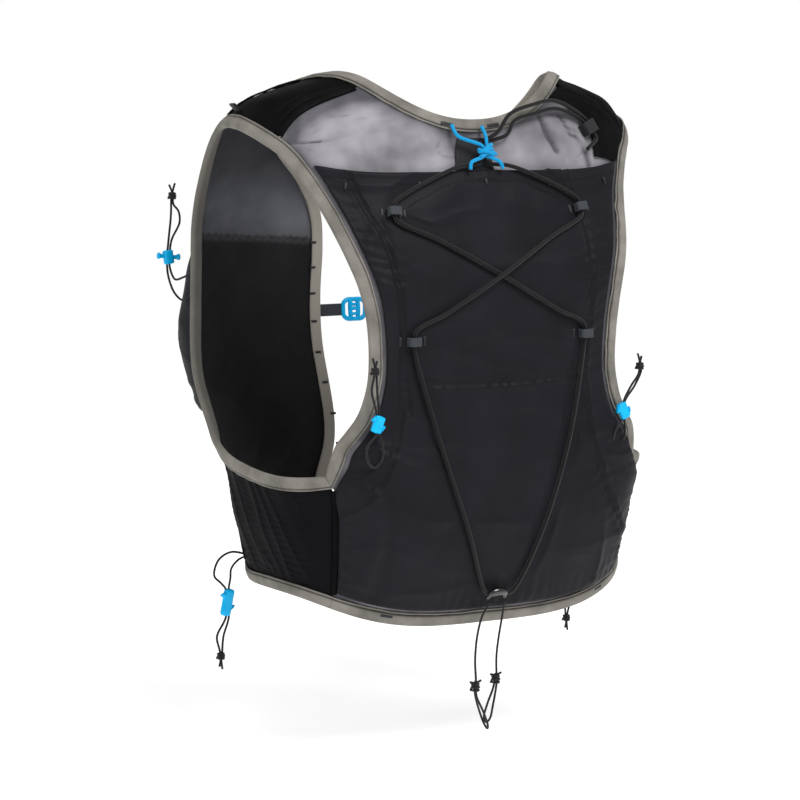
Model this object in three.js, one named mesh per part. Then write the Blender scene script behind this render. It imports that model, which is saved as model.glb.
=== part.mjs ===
// Running hydration vest in its worn form, held up at the shoulders.
// Millimetres, +Z up. The wearer faces -Y, the back is +Y and the wearer's left is +X.
// The origin lies midway between the tops of the two shoulder straps, at the neck edge.
import * as THREE from 'three';
import { mergeVertices } from 'three/addons/utils/BufferGeometryUtils.js';

// Driving sizes of the body form
const chestWidth = 344;
const chestDepth = 197;
const backLength = 379;

// Cloth and tape
const cloth = 1;
const gap = 0.7;
const seamGap = 1.2;
const tapeWidth = 9.5;
const tapeThickness = 1;

// Cords and fittings
const elasticDiameter = 2.8;
const thinCordDiameter = 1.6;
const tieDiameter = 2.6;
const webbingThickness = 1.6;
const lockDepth = 7;
const packDepth = 13;
const pocketDepth = 38;

const colours = {
  mesh: 0x8f8c91,
  dark: 0x26252b,
  black: 0x141417,
  tape: 0x8e8a83,
  webbing: 0x33363b,
  blue: 0x1b9be0,
};

// Rows of a short table become objects with named columns
function table(columns, rows) {
  const names = columns.split(' ');
  return rows.map((row) => Object.fromEntries(names.map((name, i) => [name, row[i]])));
}

// The body form from hem to neck edge: half widths are shares of the chest's half width, depths are shares
// of the chest's depth, drops are shares of the back length, and corners are powers of a rounded square.
const form = table('share half back front middle backCorner frontCorner sideDrop backDrop frontDrop', [
  [0.00, 0.780, 0.284, 0.467, 0.112, 3.4, 2.8, 0.934, 1.000, 0.839],
  [0.14, 0.815, 0.315, 0.508, 0.132, 3.6, 2.7, 0.844, 0.860, 0.760],
  [0.28, 0.866, 0.330, 0.545, 0.152, 3.8, 2.6, 0.728, 0.723, 0.675],
  [0.45, 0.977, 0.335, 0.655, 0.157, 4.4, 3.3, 0.559, 0.549, 0.512],
  [0.62, 1.000, 0.335, 0.665, 0.157, 4.2, 3.3, 0.364, 0.375, 0.348],
  [0.78, 0.965, 0.265, 0.619, 0.152, 2.6, 3.0, 0.200, 0.243, 0.243],
  [0.90, 0.837, 0.210, 0.508, 0.112, 2.3, 2.4, 0.063, 0.158, 0.180],
  [1.00, 0.488, 0.175, 0.386, 0.055, 2.2, 2.0, 0.000, 0.090, 0.150],
]);
const backRoundness = 1.25;
const frontRoundness = 1.3;

// The left armhole's edge, from the top of the side seam up the back, over the shoulder, down the front
// and back under the arm. Angles run round the body: 0 at the wearer's left, 90 at the back, -90 at the front.
const armholeEdge = table('angle share', [
  [45.5, 0.287], [50, 0.345], [55.8, 0.392], [59.3, 0.46], [59.3, 0.56], [56, 0.66], [50.5, 0.745],
  [41, 0.812], [29.5, 0.845], [9, 0.863], [-15, 0.866], [-30.5, 0.83], [-38.5, 0.76], [-42, 0.66],
  [-43, 0.55], [-40, 0.46], [-35, 0.395], [-28.5, 0.35], [-6, 0.306], [28, 0.285], [45.5, 0.287],
]);

// The neck edge and the left front edge, from the back shoulder seam forward and down to the hem
const neckEdge = table('angle share', [
  [29, 1.00], [12, 0.995], [-12, 0.98], [-38, 0.94], [-64, 0.885], [-76, 0.79], [-79.8, 0.66], [-79.5, 0.52],
  [-79, 0.42], [-78.5, 0.35], [-76, 0.23], [-71, 0.11], [-65, 0.00],
]);

// How far the pack stands off the back panel, as a share of its full depth, and how square its sides are
const packFullness = table('share depth squareness', [
  [0.00, 0.00, 6], [0.05, 0.54, 6], [0.14, 1.00, 6], [0.28, 1.00, 5], [0.40, 0.62, 4], [0.50, 0.31, 3],
  [0.66, 0.23, 3], [0.78, 0.19, 3], [0.88, 0.27, 3],
]);

// How far a chest pocket stands off the front panel, from its bottom edge to its open top
const pocketFullness = table('rise depth', [
  [0.00, 0.00], [0.12, 0.55], [0.28, 0.72], [0.45, 0.98], [0.55, 1.00], [0.75, 0.74], [1.00, 0.34],
]);

function blend(rows, key, along, place) {
  let i = 0;
  while (i < rows.length - 2 && place > rows[i + 1][along]) {
    i += 1;
  }
  const slopeAt = (k) => {
    const before = rows[Math.max(k - 1, 0)];
    const after = rows[Math.min(k + 1, rows.length - 1)];
    return (after[key] - before[key]) / (after[along] - before[along]);
  };
  const start = rows[i];
  const end = rows[i + 1];
  const span = end[along] - start[along];
  const t = (place - start[along]) / span;
  const t2 = t * t;
  const t3 = t2 * t;
  return (2 * t3 - 3 * t2 + 1) * start[key] + (t3 - 2 * t2 + t) * slopeAt(i) * span
    + (3 * t2 - 2 * t3) * end[key] + (t3 - t2) * slopeAt(i + 1) * span;
}

// The body surface: an angle round the body and a share of the way from hem to neck give a point
function skin(angle, share) {
  const radians = THREE.MathUtils.degToRad(angle);
  const across = Math.cos(radians);
  const along = Math.sin(radians);
  const atBack = along >= 0;
  const corner = blend(form, atBack ? 'backCorner' : 'frontCorner', 'share', share);
  const reach = (Math.abs(across) ** corner + Math.abs(along) ** corner) ** (-1 / corner);
  const middle = -blend(form, 'middle', 'share', share) * chestDepth;
  const back = blend(form, 'back', 'share', share) * chestDepth - middle;
  const front = blend(form, 'front', 'share', share) * chestDepth + middle;
  const depthShare = Math.abs(along * reach);
  const toEnd = depthShare ** (corner * (atBack ? backRoundness : frontRoundness));
  const sideDrop = blend(form, 'sideDrop', 'share', share);
  const endDrop = blend(form, atBack ? 'backDrop' : 'frontDrop', 'share', share);
  return new THREE.Vector3(
    blend(form, 'half', 'share', share) * chestWidth / 2 * across * reach,
    middle + (atBack ? back : front) * along * reach,
    -(sideDrop + (endDrop - sideDrop) * toEnd) * backLength,
  );
}

const angleStep = 0.5;
const shareStep = 0.002;

// Rates of travel over the surface per degree and per share, and the outward direction
function frameAt(spot) {
  const perAngle = skin(spot.angle + angleStep, spot.share)
    .sub(skin(spot.angle - angleStep, spot.share)).divideScalar(2 * angleStep);
  const perShare = skin(spot.angle, spot.share + shareStep)
    .sub(skin(spot.angle, spot.share - shareStep)).divideScalar(2 * shareStep);
  const outward = perAngle.clone().cross(perShare).normalize();
  return { perAngle, perShare, outward };
}

function at(spot, lift = 0) {
  return skin(spot.angle, spot.share).addScaledVector(frameAt(spot).outward, lift);
}

function between(from, to, t) {
  return {
    angle: THREE.MathUtils.lerp(from.angle, to.angle, t),
    share: THREE.MathUtils.lerp(from.share, to.share, t),
  };
}

function mirrored(spot) {
  return { angle: 180 - spot.angle, share: spot.share };
}

// A smooth line through the rows of an edge table, from one row to another, in equal steps
function run(edge, first, last, cells) {
  const curve = new THREE.CatmullRomCurve3(
    edge.map((spot) => new THREE.Vector3(spot.angle, spot.share, 0)), false, 'catmullrom', 0.5);
  return Array.from({ length: cells + 1 }, (_, i) => {
    const row = THREE.MathUtils.lerp(first, last, i / cells);
    const point = curve.getPoint(row / (edge.length - 1));
    return { angle: point.x, share: point.y };
  });
}

function straight(from, to, cells) {
  return Array.from({ length: cells + 1 }, (_, i) => between(from, to, i / cells));
}

// Spots a distance in from an edge line, square to it: side 1 lies to the right of travel seen from outside,
// side -1 to the left. On a closed line the last spot repeats the first.
function inset(edge, distance, side, closed = false) {
  const last = edge.length - 1;
  return edge.map((spot, i) => {
    const before = edge[i > 0 ? i - 1 : (closed ? last - 1 : 0)];
    const after = edge[i < last ? i + 1 : (closed ? 1 : last)];
    const { perAngle, perShare, outward } = frameAt(spot);
    const travel = at(after).sub(at(before));
    const inward = travel.cross(outward).normalize().multiplyScalar(side * distance);
    const aa = perAngle.dot(perAngle);
    const ss = perShare.dot(perShare);
    const as = perAngle.dot(perShare);
    const a = perAngle.dot(inward);
    const s = perShare.dot(inward);
    const scale = aa * ss - as * as;
    return {
      angle: spot.angle + (a * ss - s * as) / scale,
      share: spot.share + (s * aa - a * as) / scale,
    };
  });
}

// Joined runs share their meeting spots
function join(...runs) {
  return runs.reduce((line, next) => [...line, ...next.slice(1)]);
}

// The line with both ends drawn in, which leaves the gap of a seam
function shortened(line, distance = seamGap) {
  const last = line.length - 1;
  const drawIn = (from, to) => between(from, to, distance / at(from).distanceTo(at(to)));
  return [drawIn(line[0], line[1]), ...line.slice(1, last), drawIn(line[last], line[last - 1])];
}

// A closed body faces outwards when its signed volume is positive
function facingOut(geometry) {
  geometry.deleteAttribute('uv');
  geometry.deleteAttribute('normal');
  const merged = mergeVertices(geometry, 1e-4);
  const index = merged.getIndex();
  const position = merged.getAttribute('position');
  const corner = (k) => new THREE.Vector3().fromBufferAttribute(position, index.getX(k));
  let volume = 0;
  for (let k = 0; k < index.count; k += 3) {
    volume += corner(k).dot(corner(k + 1).cross(corner(k + 2)));
  }
  for (let k = 0; k < index.count && volume < 0; k += 3) {
    const second = index.getX(k + 1);
    index.setX(k + 1, index.getX(k + 2));
    index.setX(k + 2, second);
  }
  merged.computeVertexNormals();
  return merged;
}

function warp(geometry, place) {
  const position = geometry.getAttribute('position');
  for (let k = 0; k < position.count; k += 1) {
    const moved = place(position.getX(k), position.getY(k), position.getZ(k));
    position.setXYZ(k, moved.x, moved.y, moved.z);
  }
  return geometry;
}

// Cloth over a grid of spots: rows of columns, with the lift of its inner face as a number or a function
function sheet(rows, lift = 0, thickness = cloth) {
  const columns = rows[0].length - 1;
  const steps = rows.length - 1;
  return warp(new THREE.BoxGeometry(1, 1, 1, columns, steps, 1), (x, y, z) => {
    const i = Math.round((x + 0.5) * columns);
    const j = Math.round((y + 0.5) * steps);
    const spot = rows[j][i];
    const base = typeof lift === 'function' ? lift(spot, i / columns, j / steps) : lift;
    return at(spot, base + (z > 0 ? thickness : 0));
  });
}

// Folded tape over a cloth edge: a U section swept along the edge line, its legs lying on both faces
function foldedTape(edge, inner) {
  const lip = -(gap + tapeThickness);
  const top = cloth + gap;
  const profile = [
    [lip, lip], [tapeWidth, lip], [tapeWidth, -gap], [-gap, -gap],
    [-gap, top], [tapeWidth, top], [tapeWidth, top + tapeThickness], [lip, top + tapeThickness],
  ];
  const cells = edge.length - 1;
  const shape = new THREE.Shape(profile.map(([x, y]) => new THREE.Vector2(x, y)));
  const solid = new THREE.ExtrudeGeometry(shape, { depth: 1, steps: cells, bevelEnabled: false });
  return warp(solid, (x, y, z) => {
    const j = Math.round(z * cells);
    if (x > 0) {
      return at(inner[j], y);
    }
    const beyond = at(edge[j]).sub(at(inner[j])).setLength(-x);
    return at(edge[j], y).add(beyond);
  });
}

// A round cord along hand-placed points
function cord(points, diameter, steps) {
  const path = new THREE.CatmullRomCurve3(points, false, 'centripetal');
  const sides = 8;
  const section = new THREE.Shape(Array.from({ length: sides }, (_, k) => {
    const turn = 2 * Math.PI * (k + 0.5) / sides;
    return new THREE.Vector2(Math.cos(turn), Math.sin(turn)).multiplyScalar(diameter / 2);
  }));
  return new THREE.ExtrudeGeometry(section, { extrudePath: path, steps, bevelEnabled: false });
}

// The place of a solid set on the surface: its x lies round the body, its y up it and its z outwards
function place(spot, lift) {
  const { perAngle, outward } = frameAt(spot);
  const across = perAngle.clone().normalize();
  const upward = outward.clone().cross(across);
  return new THREE.Matrix4().makeBasis(across, upward, outward).setPosition(at(spot, lift));
}

function setOn(geometry, spot, lift) {
  return geometry.applyMatrix4(place(spot, lift));
}

// A point given in millimetres from a spot, in the same directions
function near(spot, lift, x, y) {
  return new THREE.Vector3(x, y, 0).applyMatrix4(place(spot, lift));
}

// A low arch with its tunnel along y, standing on z = 0
function arch(width, height, length, wall) {
  const half = width / 2;
  const shape = new THREE.Shape([
    [-half, 0], [wall - half, 0], [wall - half, height - wall], [half - wall, height - wall], [half - wall, 0],
    [half, 0], [half, height - wall], [half - wall, height], [wall - half, height], [-half, height - wall],
  ].map(([x, y]) => new THREE.Vector2(x, y)));
  const solid = new THREE.ExtrudeGeometry(shape, { depth: length, bevelEnabled: false });
  return solid.rotateX(Math.PI / 2).translate(0, length / 2, 0);
}

// A knot: a barrel ring about z with room for two cords
function knot(radius, length, cordDiameter) {
  const hole = cordDiameter + gap;
  const profile = [
    [hole, -length / 2], [0.8 * radius, -length / 2], [radius, 0], [0.8 * radius, length / 2], [hole, length / 2],
    [hole, -length / 2],
  ];
  return new THREE.LatheGeometry(profile.map(([x, y]) => new THREE.Vector2(x, y)), 8).rotateX(Math.PI / 2);
}

// A cord lock: a waisted block whose tunnel runs along z with room for two cords side by side
function cordLock(width, length) {
  const outline = [
    [-1, -0.3], [-0.55, -0.45], [-0.3, -1], [0.5, -1], [1, -0.5], [1, 0.5], [0.5, 1], [-0.3, 1], [-0.55, 0.45],
    [-1, 0.3],
  ];
  const shape = new THREE.Shape(
    outline.map(([x, y]) => new THREE.Vector2(x * width / 2, y * lockDepth / 2)));
  const halfWide = thinCordDiameter + 0.3 + gap;
  const halfDeep = thinCordDiameter / 2 + gap;
  shape.holes.push(new THREE.Path([
    new THREE.Vector2(-halfWide, -halfDeep),
    new THREE.Vector2(halfWide, -halfDeep),
    new THREE.Vector2(halfWide, halfDeep),
    new THREE.Vector2(-halfWide, halfDeep),
  ]));
  return new THREE.ExtrudeGeometry(shape, { depth: length, steps: 1, bevelEnabled: false })
    .translate(0, 0, -length / 2);
}

function points(rows) {
  return rows.map(([x, y, z]) => new THREE.Vector3(x, y, z));
}

const vest = new THREE.Group();

function addPiece(name, geometry, colour, roughness = 0.9, metalness = 0) {
  const material = new THREE.MeshStandardMaterial({ color: colour, roughness, metalness });
  const piece = new THREE.Mesh(facingOut(geometry), material);
  piece.name = name;
  vest.add(piece);
}

// The same piece on both sides: the right one is the left one's mirror image
function addPair(name, build, colour, roughness = 0.9) {
  for (const [side, sign] of [['left', 1], ['right', -1]]) {
    addPiece(`${name}_${side}`, build().scale(sign, 1, 1), colour, roughness);
  }
}

// Edge lines of the left half
const seamHem = { angle: 42, share: 0 };
const frontSeamHem = { angle: -28, share: 0 };
const armholeBack = run(armholeEdge, 0, 8, 16);
const armholeShoulder = run(armholeEdge, 8, 10, 3);
const armholeFront = run(armholeEdge, 10, 17, 10);
const armholeSide = run(armholeEdge, 17, 20, 6);
const armhole = join(armholeBack, armholeShoulder, armholeFront, armholeSide);
const armholeInner = inset(armhole, tapeWidth, 1, true);
const shoulderStart = armholeBack.length - 1;
const frontStart = shoulderStart + armholeShoulder.length - 1;
const sideStart = frontStart + armholeFront.length - 1;

const backCells = 10;
const neckBack = straight(neckEdge[0], mirrored(neckEdge[0]), backCells);
const neckShoulder = run(neckEdge, 0, 2, 3);
const neckFront = run(neckEdge, 2, 9, 10);
const lowerFrontEdge = [...run(neckEdge, 9, 11.7, 5), neckEdge[12]];
const neckSide = join(neckShoulder, neckFront, lowerFrontEdge);
const neckLine = join([...neckSide].reverse(), neckBack, neckSide.map(mirrored));
const neckInner = inset(neckLine, tapeWidth, 1);
const neckSideInner = neckInner.slice(0, neckSide.length).reverse();
const neckBackInner = neckInner.slice(neckSide.length - 1, neckSide.length + backCells);

const frontHem = straight(neckEdge[12], frontSeamHem, 5);
const sideHem = straight(frontSeamHem, seamHem, 6);
const backHem = straight(seamHem, mirrored(seamHem), backCells);
const hem = join(frontHem, sideHem, backHem);
const hemInner = inset(hem, tapeWidth, -1);
const sideHemStart = frontHem.length - 1;
const backHemStart = sideHemStart + sideHem.length - 1;

// Seams run from edge to edge and have a spot at each tape's inner edge
const seamCells = 4;
const shoulderSeam = [
  armhole[shoulderStart], ...straight(armholeInner[shoulderStart], neckSideInner[0], 2), neckSide[0],
];
const frontSeam = [
  armhole[sideStart], ...straight(armholeInner[sideStart], hemInner[sideHemStart], seamCells), frontSeamHem,
];
const sideSeam = [seamHem, ...straight(hemInner[backHemStart], armholeInner[0], seamCells), armhole[0]];

// Grid rows from one edge line to another, with a column at each tape's inner edge
function grid(left, leftInner, rightInner, right, cells) {
  return left.map((spot, j) => [spot, ...straight(leftInner[j], rightInner[j], cells), right[j]]);
}

// Back panel: the body-side mesh, from the hem up between the armholes to the neck edge
const firstColumn = 0.081;
const backEdge = join(sideSeam, armholeBack, shoulderSeam);
const firstArmholeRow = sideSeam.length - 1;
const lastArmholeRow = firstArmholeRow + shoulderStart;
const seamInner = (line) => line.map((spot) => between(spot, mirrored(spot), firstColumn));
const backInner = [
  ...seamInner(sideSeam.slice(0, -1)),
  between(armholeInner[0], armholeInner[1], 0.5),
  ...armholeInner.slice(1, shoulderStart),
  between(armholeInner[shoulderStart - 1], armholeInner[shoulderStart], 0.5),
  ...seamInner(shoulderSeam.slice(1)),
];
const backRows = grid(backEdge, backInner, backInner.map(mirrored), backEdge.map(mirrored), backCells - 2);
backRows[0] = backHem;
backRows[1] = hemInner.slice(backHemStart);
backRows[backRows.length - 2] = neckBackInner;
addPiece('back_panel', sheet(backRows), colours.mesh);

// Shoulder straps: stiffer dark patches from the back shoulder seam to the top of the front
const strapRows = grid(
  shortened(armholeShoulder),
  shortened(armholeInner.slice(shoulderStart, frontStart + 1)),
  shortened(neckSideInner.slice(0, neckShoulder.length)),
  shortened(neckShoulder),
  2,
);
addPair('shoulder_strap', () => sheet(strapRows), colours.black);

// Front panels: from the shoulder down to the hem, between the armhole or the front seam and the front edge
const frontSeamInner = frontSeam.slice(1).map((spot, j) => {
  const partner = neckSideInner[neckSideInner.length - frontSeam.length + 1 + j];
  return between(spot, partner, 0.16);
});
const frontOuterInner = [
  ...armholeInner.slice(frontStart, sideStart),
  between(armholeInner[sideStart - 1], armholeInner[sideStart], 0.5),
  ...frontSeamInner,
];
const frontNeckInner = neckSideInner.slice(neckShoulder.length - 1);
const frontOuter = join(armholeFront, frontSeam);
const frontRows = grid(frontOuter, frontOuterInner, frontNeckInner, join(neckFront, lowerFrontEdge), 3);
frontRows[frontRows.length - 1] = [...frontHem].reverse();
addPair('front_panel', () => sheet(frontRows), colours.dark);

// Side panels: gathered stretch cloth under the arm, from the front seam to the side seam
const gatherHeight = 2.2;
const sideRows = grid(
  shortened(sideHem),
  shortened(hemInner.slice(sideHemStart, backHemStart + 1)),
  shortened(armholeInner.slice(sideStart)),
  shortened(armholeSide),
  seamCells,
);
const gathers = (spot, across) => (Math.round(across * (seamCells + 2)) === 3 ? gatherHeight : 0);
addPair('side_panel', () => sheet(sideRows, gathers), colours.dark);

// Folded tapes on the free edges
addPiece('neck_binding', foldedTape(neckLine, neckInner), colours.tape);
addPair('armhole_binding', () => foldedTape(shortened(armhole), shortened(armholeInner)), colours.tape);
addPiece('back_hem_binding', foldedTape(
  shortened(hem.slice(backHemStart)), shortened(hemInner.slice(backHemStart))), colours.tape);
addPair('side_hem_binding', () => foldedTape(
  shortened(hem.slice(1, backHemStart + 1)), shortened(hemInner.slice(1, backHemStart + 1))), colours.tape);

// Pack: one sheet over the back panel, closed at its sides and hem, open along its top edge
const packMargin = 1.5;
const packTopRise = 0.035;
const packArmhole = inset(armhole, tapeWidth + packMargin, 1, true);
const packHem = inset(hem, tapeWidth + packMargin, -1).slice(backHemStart);
const packSide = [
  packHem[0],
  ...sideSeam.slice(2, 5).map((spot) => between(spot, mirrored(spot), 0.01)),
  ...packArmhole.slice(0, 15),
];
const packRows = packSide.map((spot, j) => {
  if (j === 0) {
    return packHem.map((hemSpot, i) => (i === 0 || i === backCells
      ? between(hemSpot, mirrored(hemSpot), 0.01) : hemSpot));
  }
  const rise = j === packSide.length - 1 ? packTopRise : 0;
  return straight(spot, mirrored(spot), backCells).map(({ angle, share }, i) => (
    { angle, share: share + rise * Math.sin(Math.PI * i / backCells) ** 2 }));
});

// The pack's side edge at any share of the height
function packEdgeAngle(share) {
  const above = Math.max(packSide.findIndex((spot) => spot.share > share), 1);
  const [low, high] = [packSide[above - 1], packSide[above]];
  return THREE.MathUtils.mapLinear(share, low.share, high.share, low.angle, high.angle);
}

function packLift({ angle, share }) {
  const edgeAngle = share < packSide[packSide.length - 1].share
    ? packEdgeAngle(share) : packSide[packSide.length - 1].angle;
  const aside = Math.min(Math.abs(90 - angle) / (90 - edgeAngle), 1);
  const depth = packDepth * blend(packFullness, 'depth', 'share', share);
  return cloth + gap + depth * (1 - aside ** blend(packFullness, 'squareness', 'share', share));
}

addPiece('pack_body', sheet(packRows, packLift), colours.dark);

function onPack(angle, share, over = 0) {
  const spot = { angle, share };
  return at(spot, packLift(spot) + cloth + over);
}

function onYoke(angle, share, lift) {
  return at({ angle, share }, lift);
}

// Chest pockets: standing bottle pockets on the front panels, open at the top
const pocketOuter = inset(run(armholeEdge, 12.5, 16.6, 8), tapeWidth + 2, 1);
const pocketInner = inset(run(neckEdge, 5.7, 8.8, 8), tapeWidth + 3, -1);
const pocketRows = pocketOuter.map((spot, j) => straight(spot, pocketInner[j], 6));
const pocketEdgeLift = cloth + 1.3 * gap;
const pocketSquareness = 3;

function pocketLift(spot, across, down) {
  const bulge = 1 - Math.abs(2 * across - 1) ** pocketSquareness;
  return pocketEdgeLift + pocketDepth * blend(pocketFullness, 'depth', 'rise', 1 - down) * bulge;
}

addPair('chest_pocket', () => sheet(pocketRows, pocketLift), colours.dark);

// Black webbing down the middle of the yoke, from below the neck tape to behind the pack's top edge
const webbingTop = 0.955;
const webbingFoot = 0.845;
const centreWebbing = straight({ angle: 82.5, share: webbingFoot }, { angle: 82.5, share: webbingTop }, 3)
  .map((spot) => straight(spot, { angle: 94, share: spot.share }, 1));
addPiece('centre_webbing', sheet(centreWebbing, cloth + gap), colours.black);

// Sternum strap: a webbing from each front edge to the hook in the middle
const sternumShare = 0.5;
const sternumHalf = 0.0115;
const onTapes = cloth + 1.2 * gap + tapeThickness;
const sternumRows = [sternumShare - sternumHalf, sternumShare + sternumHalf].map((share) => (
  straight({ angle: -77, share }, { angle: -86.4, share }, 3)));
addPair('sternum_strap', () => sheet(sternumRows, onTapes, webbingThickness), colours.webbing);

// Hook in the middle of the sternum strap: a plate with two slots
const hookWidth = 20;
const hookHeight = 16;
const hookThickness = 3.2;
function sternumHook() {
  const sized = (rows) => rows.map(([x, y]) => new THREE.Vector2(x * hookWidth / 2, y * hookHeight / 2));
  const shape = new THREE.Shape(sized([
    [-1, -0.6], [-0.7, -1], [0.7, -1], [1, -0.6], [1, 0.6], [0.7, 1], [-0.7, 1], [-1, 0.6]]));
  for (const side of [-1, 1]) {
    shape.holes.push(new THREE.Path(sized([
      [side * 0.75, -0.5], [side * 0.45, -0.65], [side * 0.45, 0.65], [side * 0.75, 0.5]])));
  }
  return new THREE.ExtrudeGeometry(shape, { depth: hookThickness, steps: 1, bevelEnabled: false });
}
addPiece('sternum_hook', setOn(sternumHook(), { angle: -90, share: sternumShare }, cloth), colours.blue, 0.4);

// Small webbing tabs that stand at the top of the armholes
const tabSize = { across: 2, along: 8, high: 7 };
addPair('shoulder_tab', () => setOn(
  new THREE.BoxGeometry(tabSize.along, tabSize.across, tabSize.high).translate(0, 0, tabSize.high / 2),
  { angle: -8, share: 0.893 }, cloth - 0.4), colours.black);

// Webbing guides for the elastic on the pack
const guideSize = { width: 9.4, height: 5.6, length: 6, wall: 1.2 };
const guideSpots = { upper: { angle: 65.2, share: 0.76 }, lower: { angle: 68, share: 0.52 } };
for (const [name, spot] of Object.entries(guideSpots)) {
  addPair(`bungee_guide_${name}`, () => setOn(
    arch(guideSize.width, guideSize.height, guideSize.length, guideSize.wall),
    spot, packLift(spot) + cloth + gap), colours.black);
}

// Glossy hook near the back hem: its tunnel runs across, and both ends of the elastic meet in it
const bottomHook = { angle: 89, share: 0.058 };
const bottomHookSize = { width: 10, height: 6.4, length: 15.5, wall: 1.4 };
addPiece('bottom_hook', setOn(
  arch(bottomHookSize.width, bottomHookSize.height, bottomHookSize.length, bottomHookSize.wall)
    .rotateZ(Math.PI / 2),
  bottomHook, packLift(bottomHook) + cloth + 2 * gap), colours.black, 0.25);

// Keeper at the right end of the yoke: a low arch that two strands of the elastic pass
const keeper = { angle: 131.5, share: 0.905 };
const keeperLift = cloth - 0.3;
addPiece('yoke_keeper', setOn(arch(12, 6.6, 9, 1.2), keeper, keeperLift), colours.black, 0.5);

// Blue knot over the middle of the yoke; the elastic passes between it and the yoke
const elasticRadius = elasticDiameter / 2;
const tieKnot = { angle: 90.3, share: 0.912 };
const underKnotLift = 2 * (cloth + gap) + elasticRadius;
const knotHalfDepth = 4;
const tieKnotLift = underKnotLift + elasticRadius + gap + knotHalfDepth;
addPiece('tie_knot', setOn(
  knot(6.4, 8, tieDiameter).rotateX(Math.PI / 2).scale(1.2, 1, knotHalfDepth / 6.4),
  tieKnot, tieKnotLift), colours.blue, 0.6);

// Elastic: each half runs from the keeper over the yoke, behind the knot, out to its own side's upper guide,
// across the other half, through the opposite lower guide and down into the hook
const elasticOver = gap + elasticRadius + 0.3;
const lacing = table('angle share over', [
  [77.5, 0.852, 0], [68, 0.80, 0], [65.2, 0.777, 0], [65.2, 0.76, 0], [65.6, 0.744, 0],
  [75.5, 0.70, 0], [90, 0.63, 0], [104.5, 0.565, 0], [111.4, 0.538, 0], [112, 0.52, 0], [111.8, 0.50, 0],
  [108.4, 0.34, 0], [102, 0.18, 0], [96, 0.075, 0], [93.8, 0.058, 0.65], [90.8, 0.058, 0.65],
]);
const keeperMiddle = keeperLift + 2.6;
const yokeRoutes = {
  left: [
    onYoke(125.5, 0.872, 4.4), near(keeper, keeperMiddle, 2, -9), near(keeper, keeperMiddle, 1.8, -3),
    near(keeper, keeperMiddle, 1.8, 6), onYoke(130.5, 0.974, 9), onYoke(120, 0.995, 10.5),
    onYoke(106, 0.998, 11.2), onYoke(97, 0.962, 9.2), near(tieKnot, underKnotLift, 0.4, 6),
    near(tieKnot, underKnotLift, -1.6, -6), onYoke(82.7, 0.874, 7.6),
  ],
  right: [
    near(keeper, keeperMiddle, -1.8, -3), near(keeper, keeperMiddle, -1.8, 6), onYoke(128.5, 0.962, 6.5),
    onYoke(119, 0.978, 7), onYoke(108, 0.982, 7), onYoke(101.5, 0.955, 6.5),
    near(tieKnot, underKnotLift, 5, 6), near(tieKnot, underKnotLift, 3.1, -6), onYoke(97.3, 0.874, 7.6),
  ],
};
const crossingOver = { left: 0, right: elasticDiameter + gap };
for (const [side, yokeRoute] of Object.entries(yokeRoutes)) {
  const packRoute = lacing.map(({ angle, share, over }) => onPack(
    side === 'left' ? angle : 180 - angle,
    share,
    elasticOver + over + (share === 0.63 ? crossingOver[side] : 0),
  ));
  addPiece(`bungee_${side}`, cord([...yokeRoute, ...packRoute], elasticDiameter, 60), colours.black);
}

// Blue tie cords from the neck tape through the knot to the pack's top edge
const tieRadius = tieDiameter / 2;
const tieStartLift = cloth + 2 * gap + tapeThickness + tieRadius + 0.3;
const tieAside = tieRadius + gap / 2;
const throughKnot = (aside) => [7.5, 4, -4, -7.5].map((y) => near(tieKnot, tieKnotLift, aside, y));
const tieRoutes = {
  left: [
    onYoke(78, 0.983, tieStartLift), onYoke(81, 0.953, tieKnotLift - 2.5),
    ...throughKnot(-tieAside), onYoke(84, 0.88, 11), onYoke(83, 0.863, 10),
  ],
  right: [
    onYoke(92.3, 0.983, tieStartLift), onYoke(91.8, 0.955, tieKnotLift - 2),
    ...throughKnot(tieAside), onYoke(95.6, 0.88, 11), onYoke(97, 0.863, 10),
  ],
};
for (const [side, route] of Object.entries(tieRoutes)) {
  addPiece(`tie_cord_${side}`, cord(route, tieDiameter, 16), colours.blue, 0.6);
}

// Two cords hang from the hook, each ending in a knot and a loop; the loops are linked
const hangingCords = {
  left: {
    knot: [13, 62, -425],
    path: [
      [8, 73, -364.9], [11.5, 70, -372], [13.6, 66, -386], [14.2, 63.5, -405], [13.2, 62.9, -419], [13, 62.9, -425],
      [12.8, 62.9, -431], [7.6, 63.8, -443], [3.6, 63.4, -453], [2.6, 61, -456], [3.6, 58.4, -453],
      [7.6, 58.2, -443], [12.6, 61, -431], [13, 61.1, -425], [13, 61.1, -422],
    ],
  },
  right: {
    knot: [-3.6, 62, -421],
    path: [
      [-3.6, 73, -364.7], [-4.2, 70, -373], [-3.2, 66, -392], [-3.2, 63.5, -405], [-3.6, 62.9, -415],
      [-4, 62.9, -421], [-3.8, 62, -428], [-2, 61, -440], [0.4, 61, -449], [3.2, 61, -451.5], [5.4, 61, -448],
      [2.4, 61, -438], [-2, 61, -428], [-3.6, 61.1, -421],
    ],
  },
};
for (const [side, spec] of Object.entries(hangingCords)) {
  const [x, y, z] = spec.knot;
  addPiece(`hanging_cord_${side}`, cord(points(spec.path), thinCordDiameter, 18), colours.black);
  addPiece(`hanging_knot_${side}`, knot(3.8, 7.5, thinCordDiameter).translate(x, y, z), colours.black);
}

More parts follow.
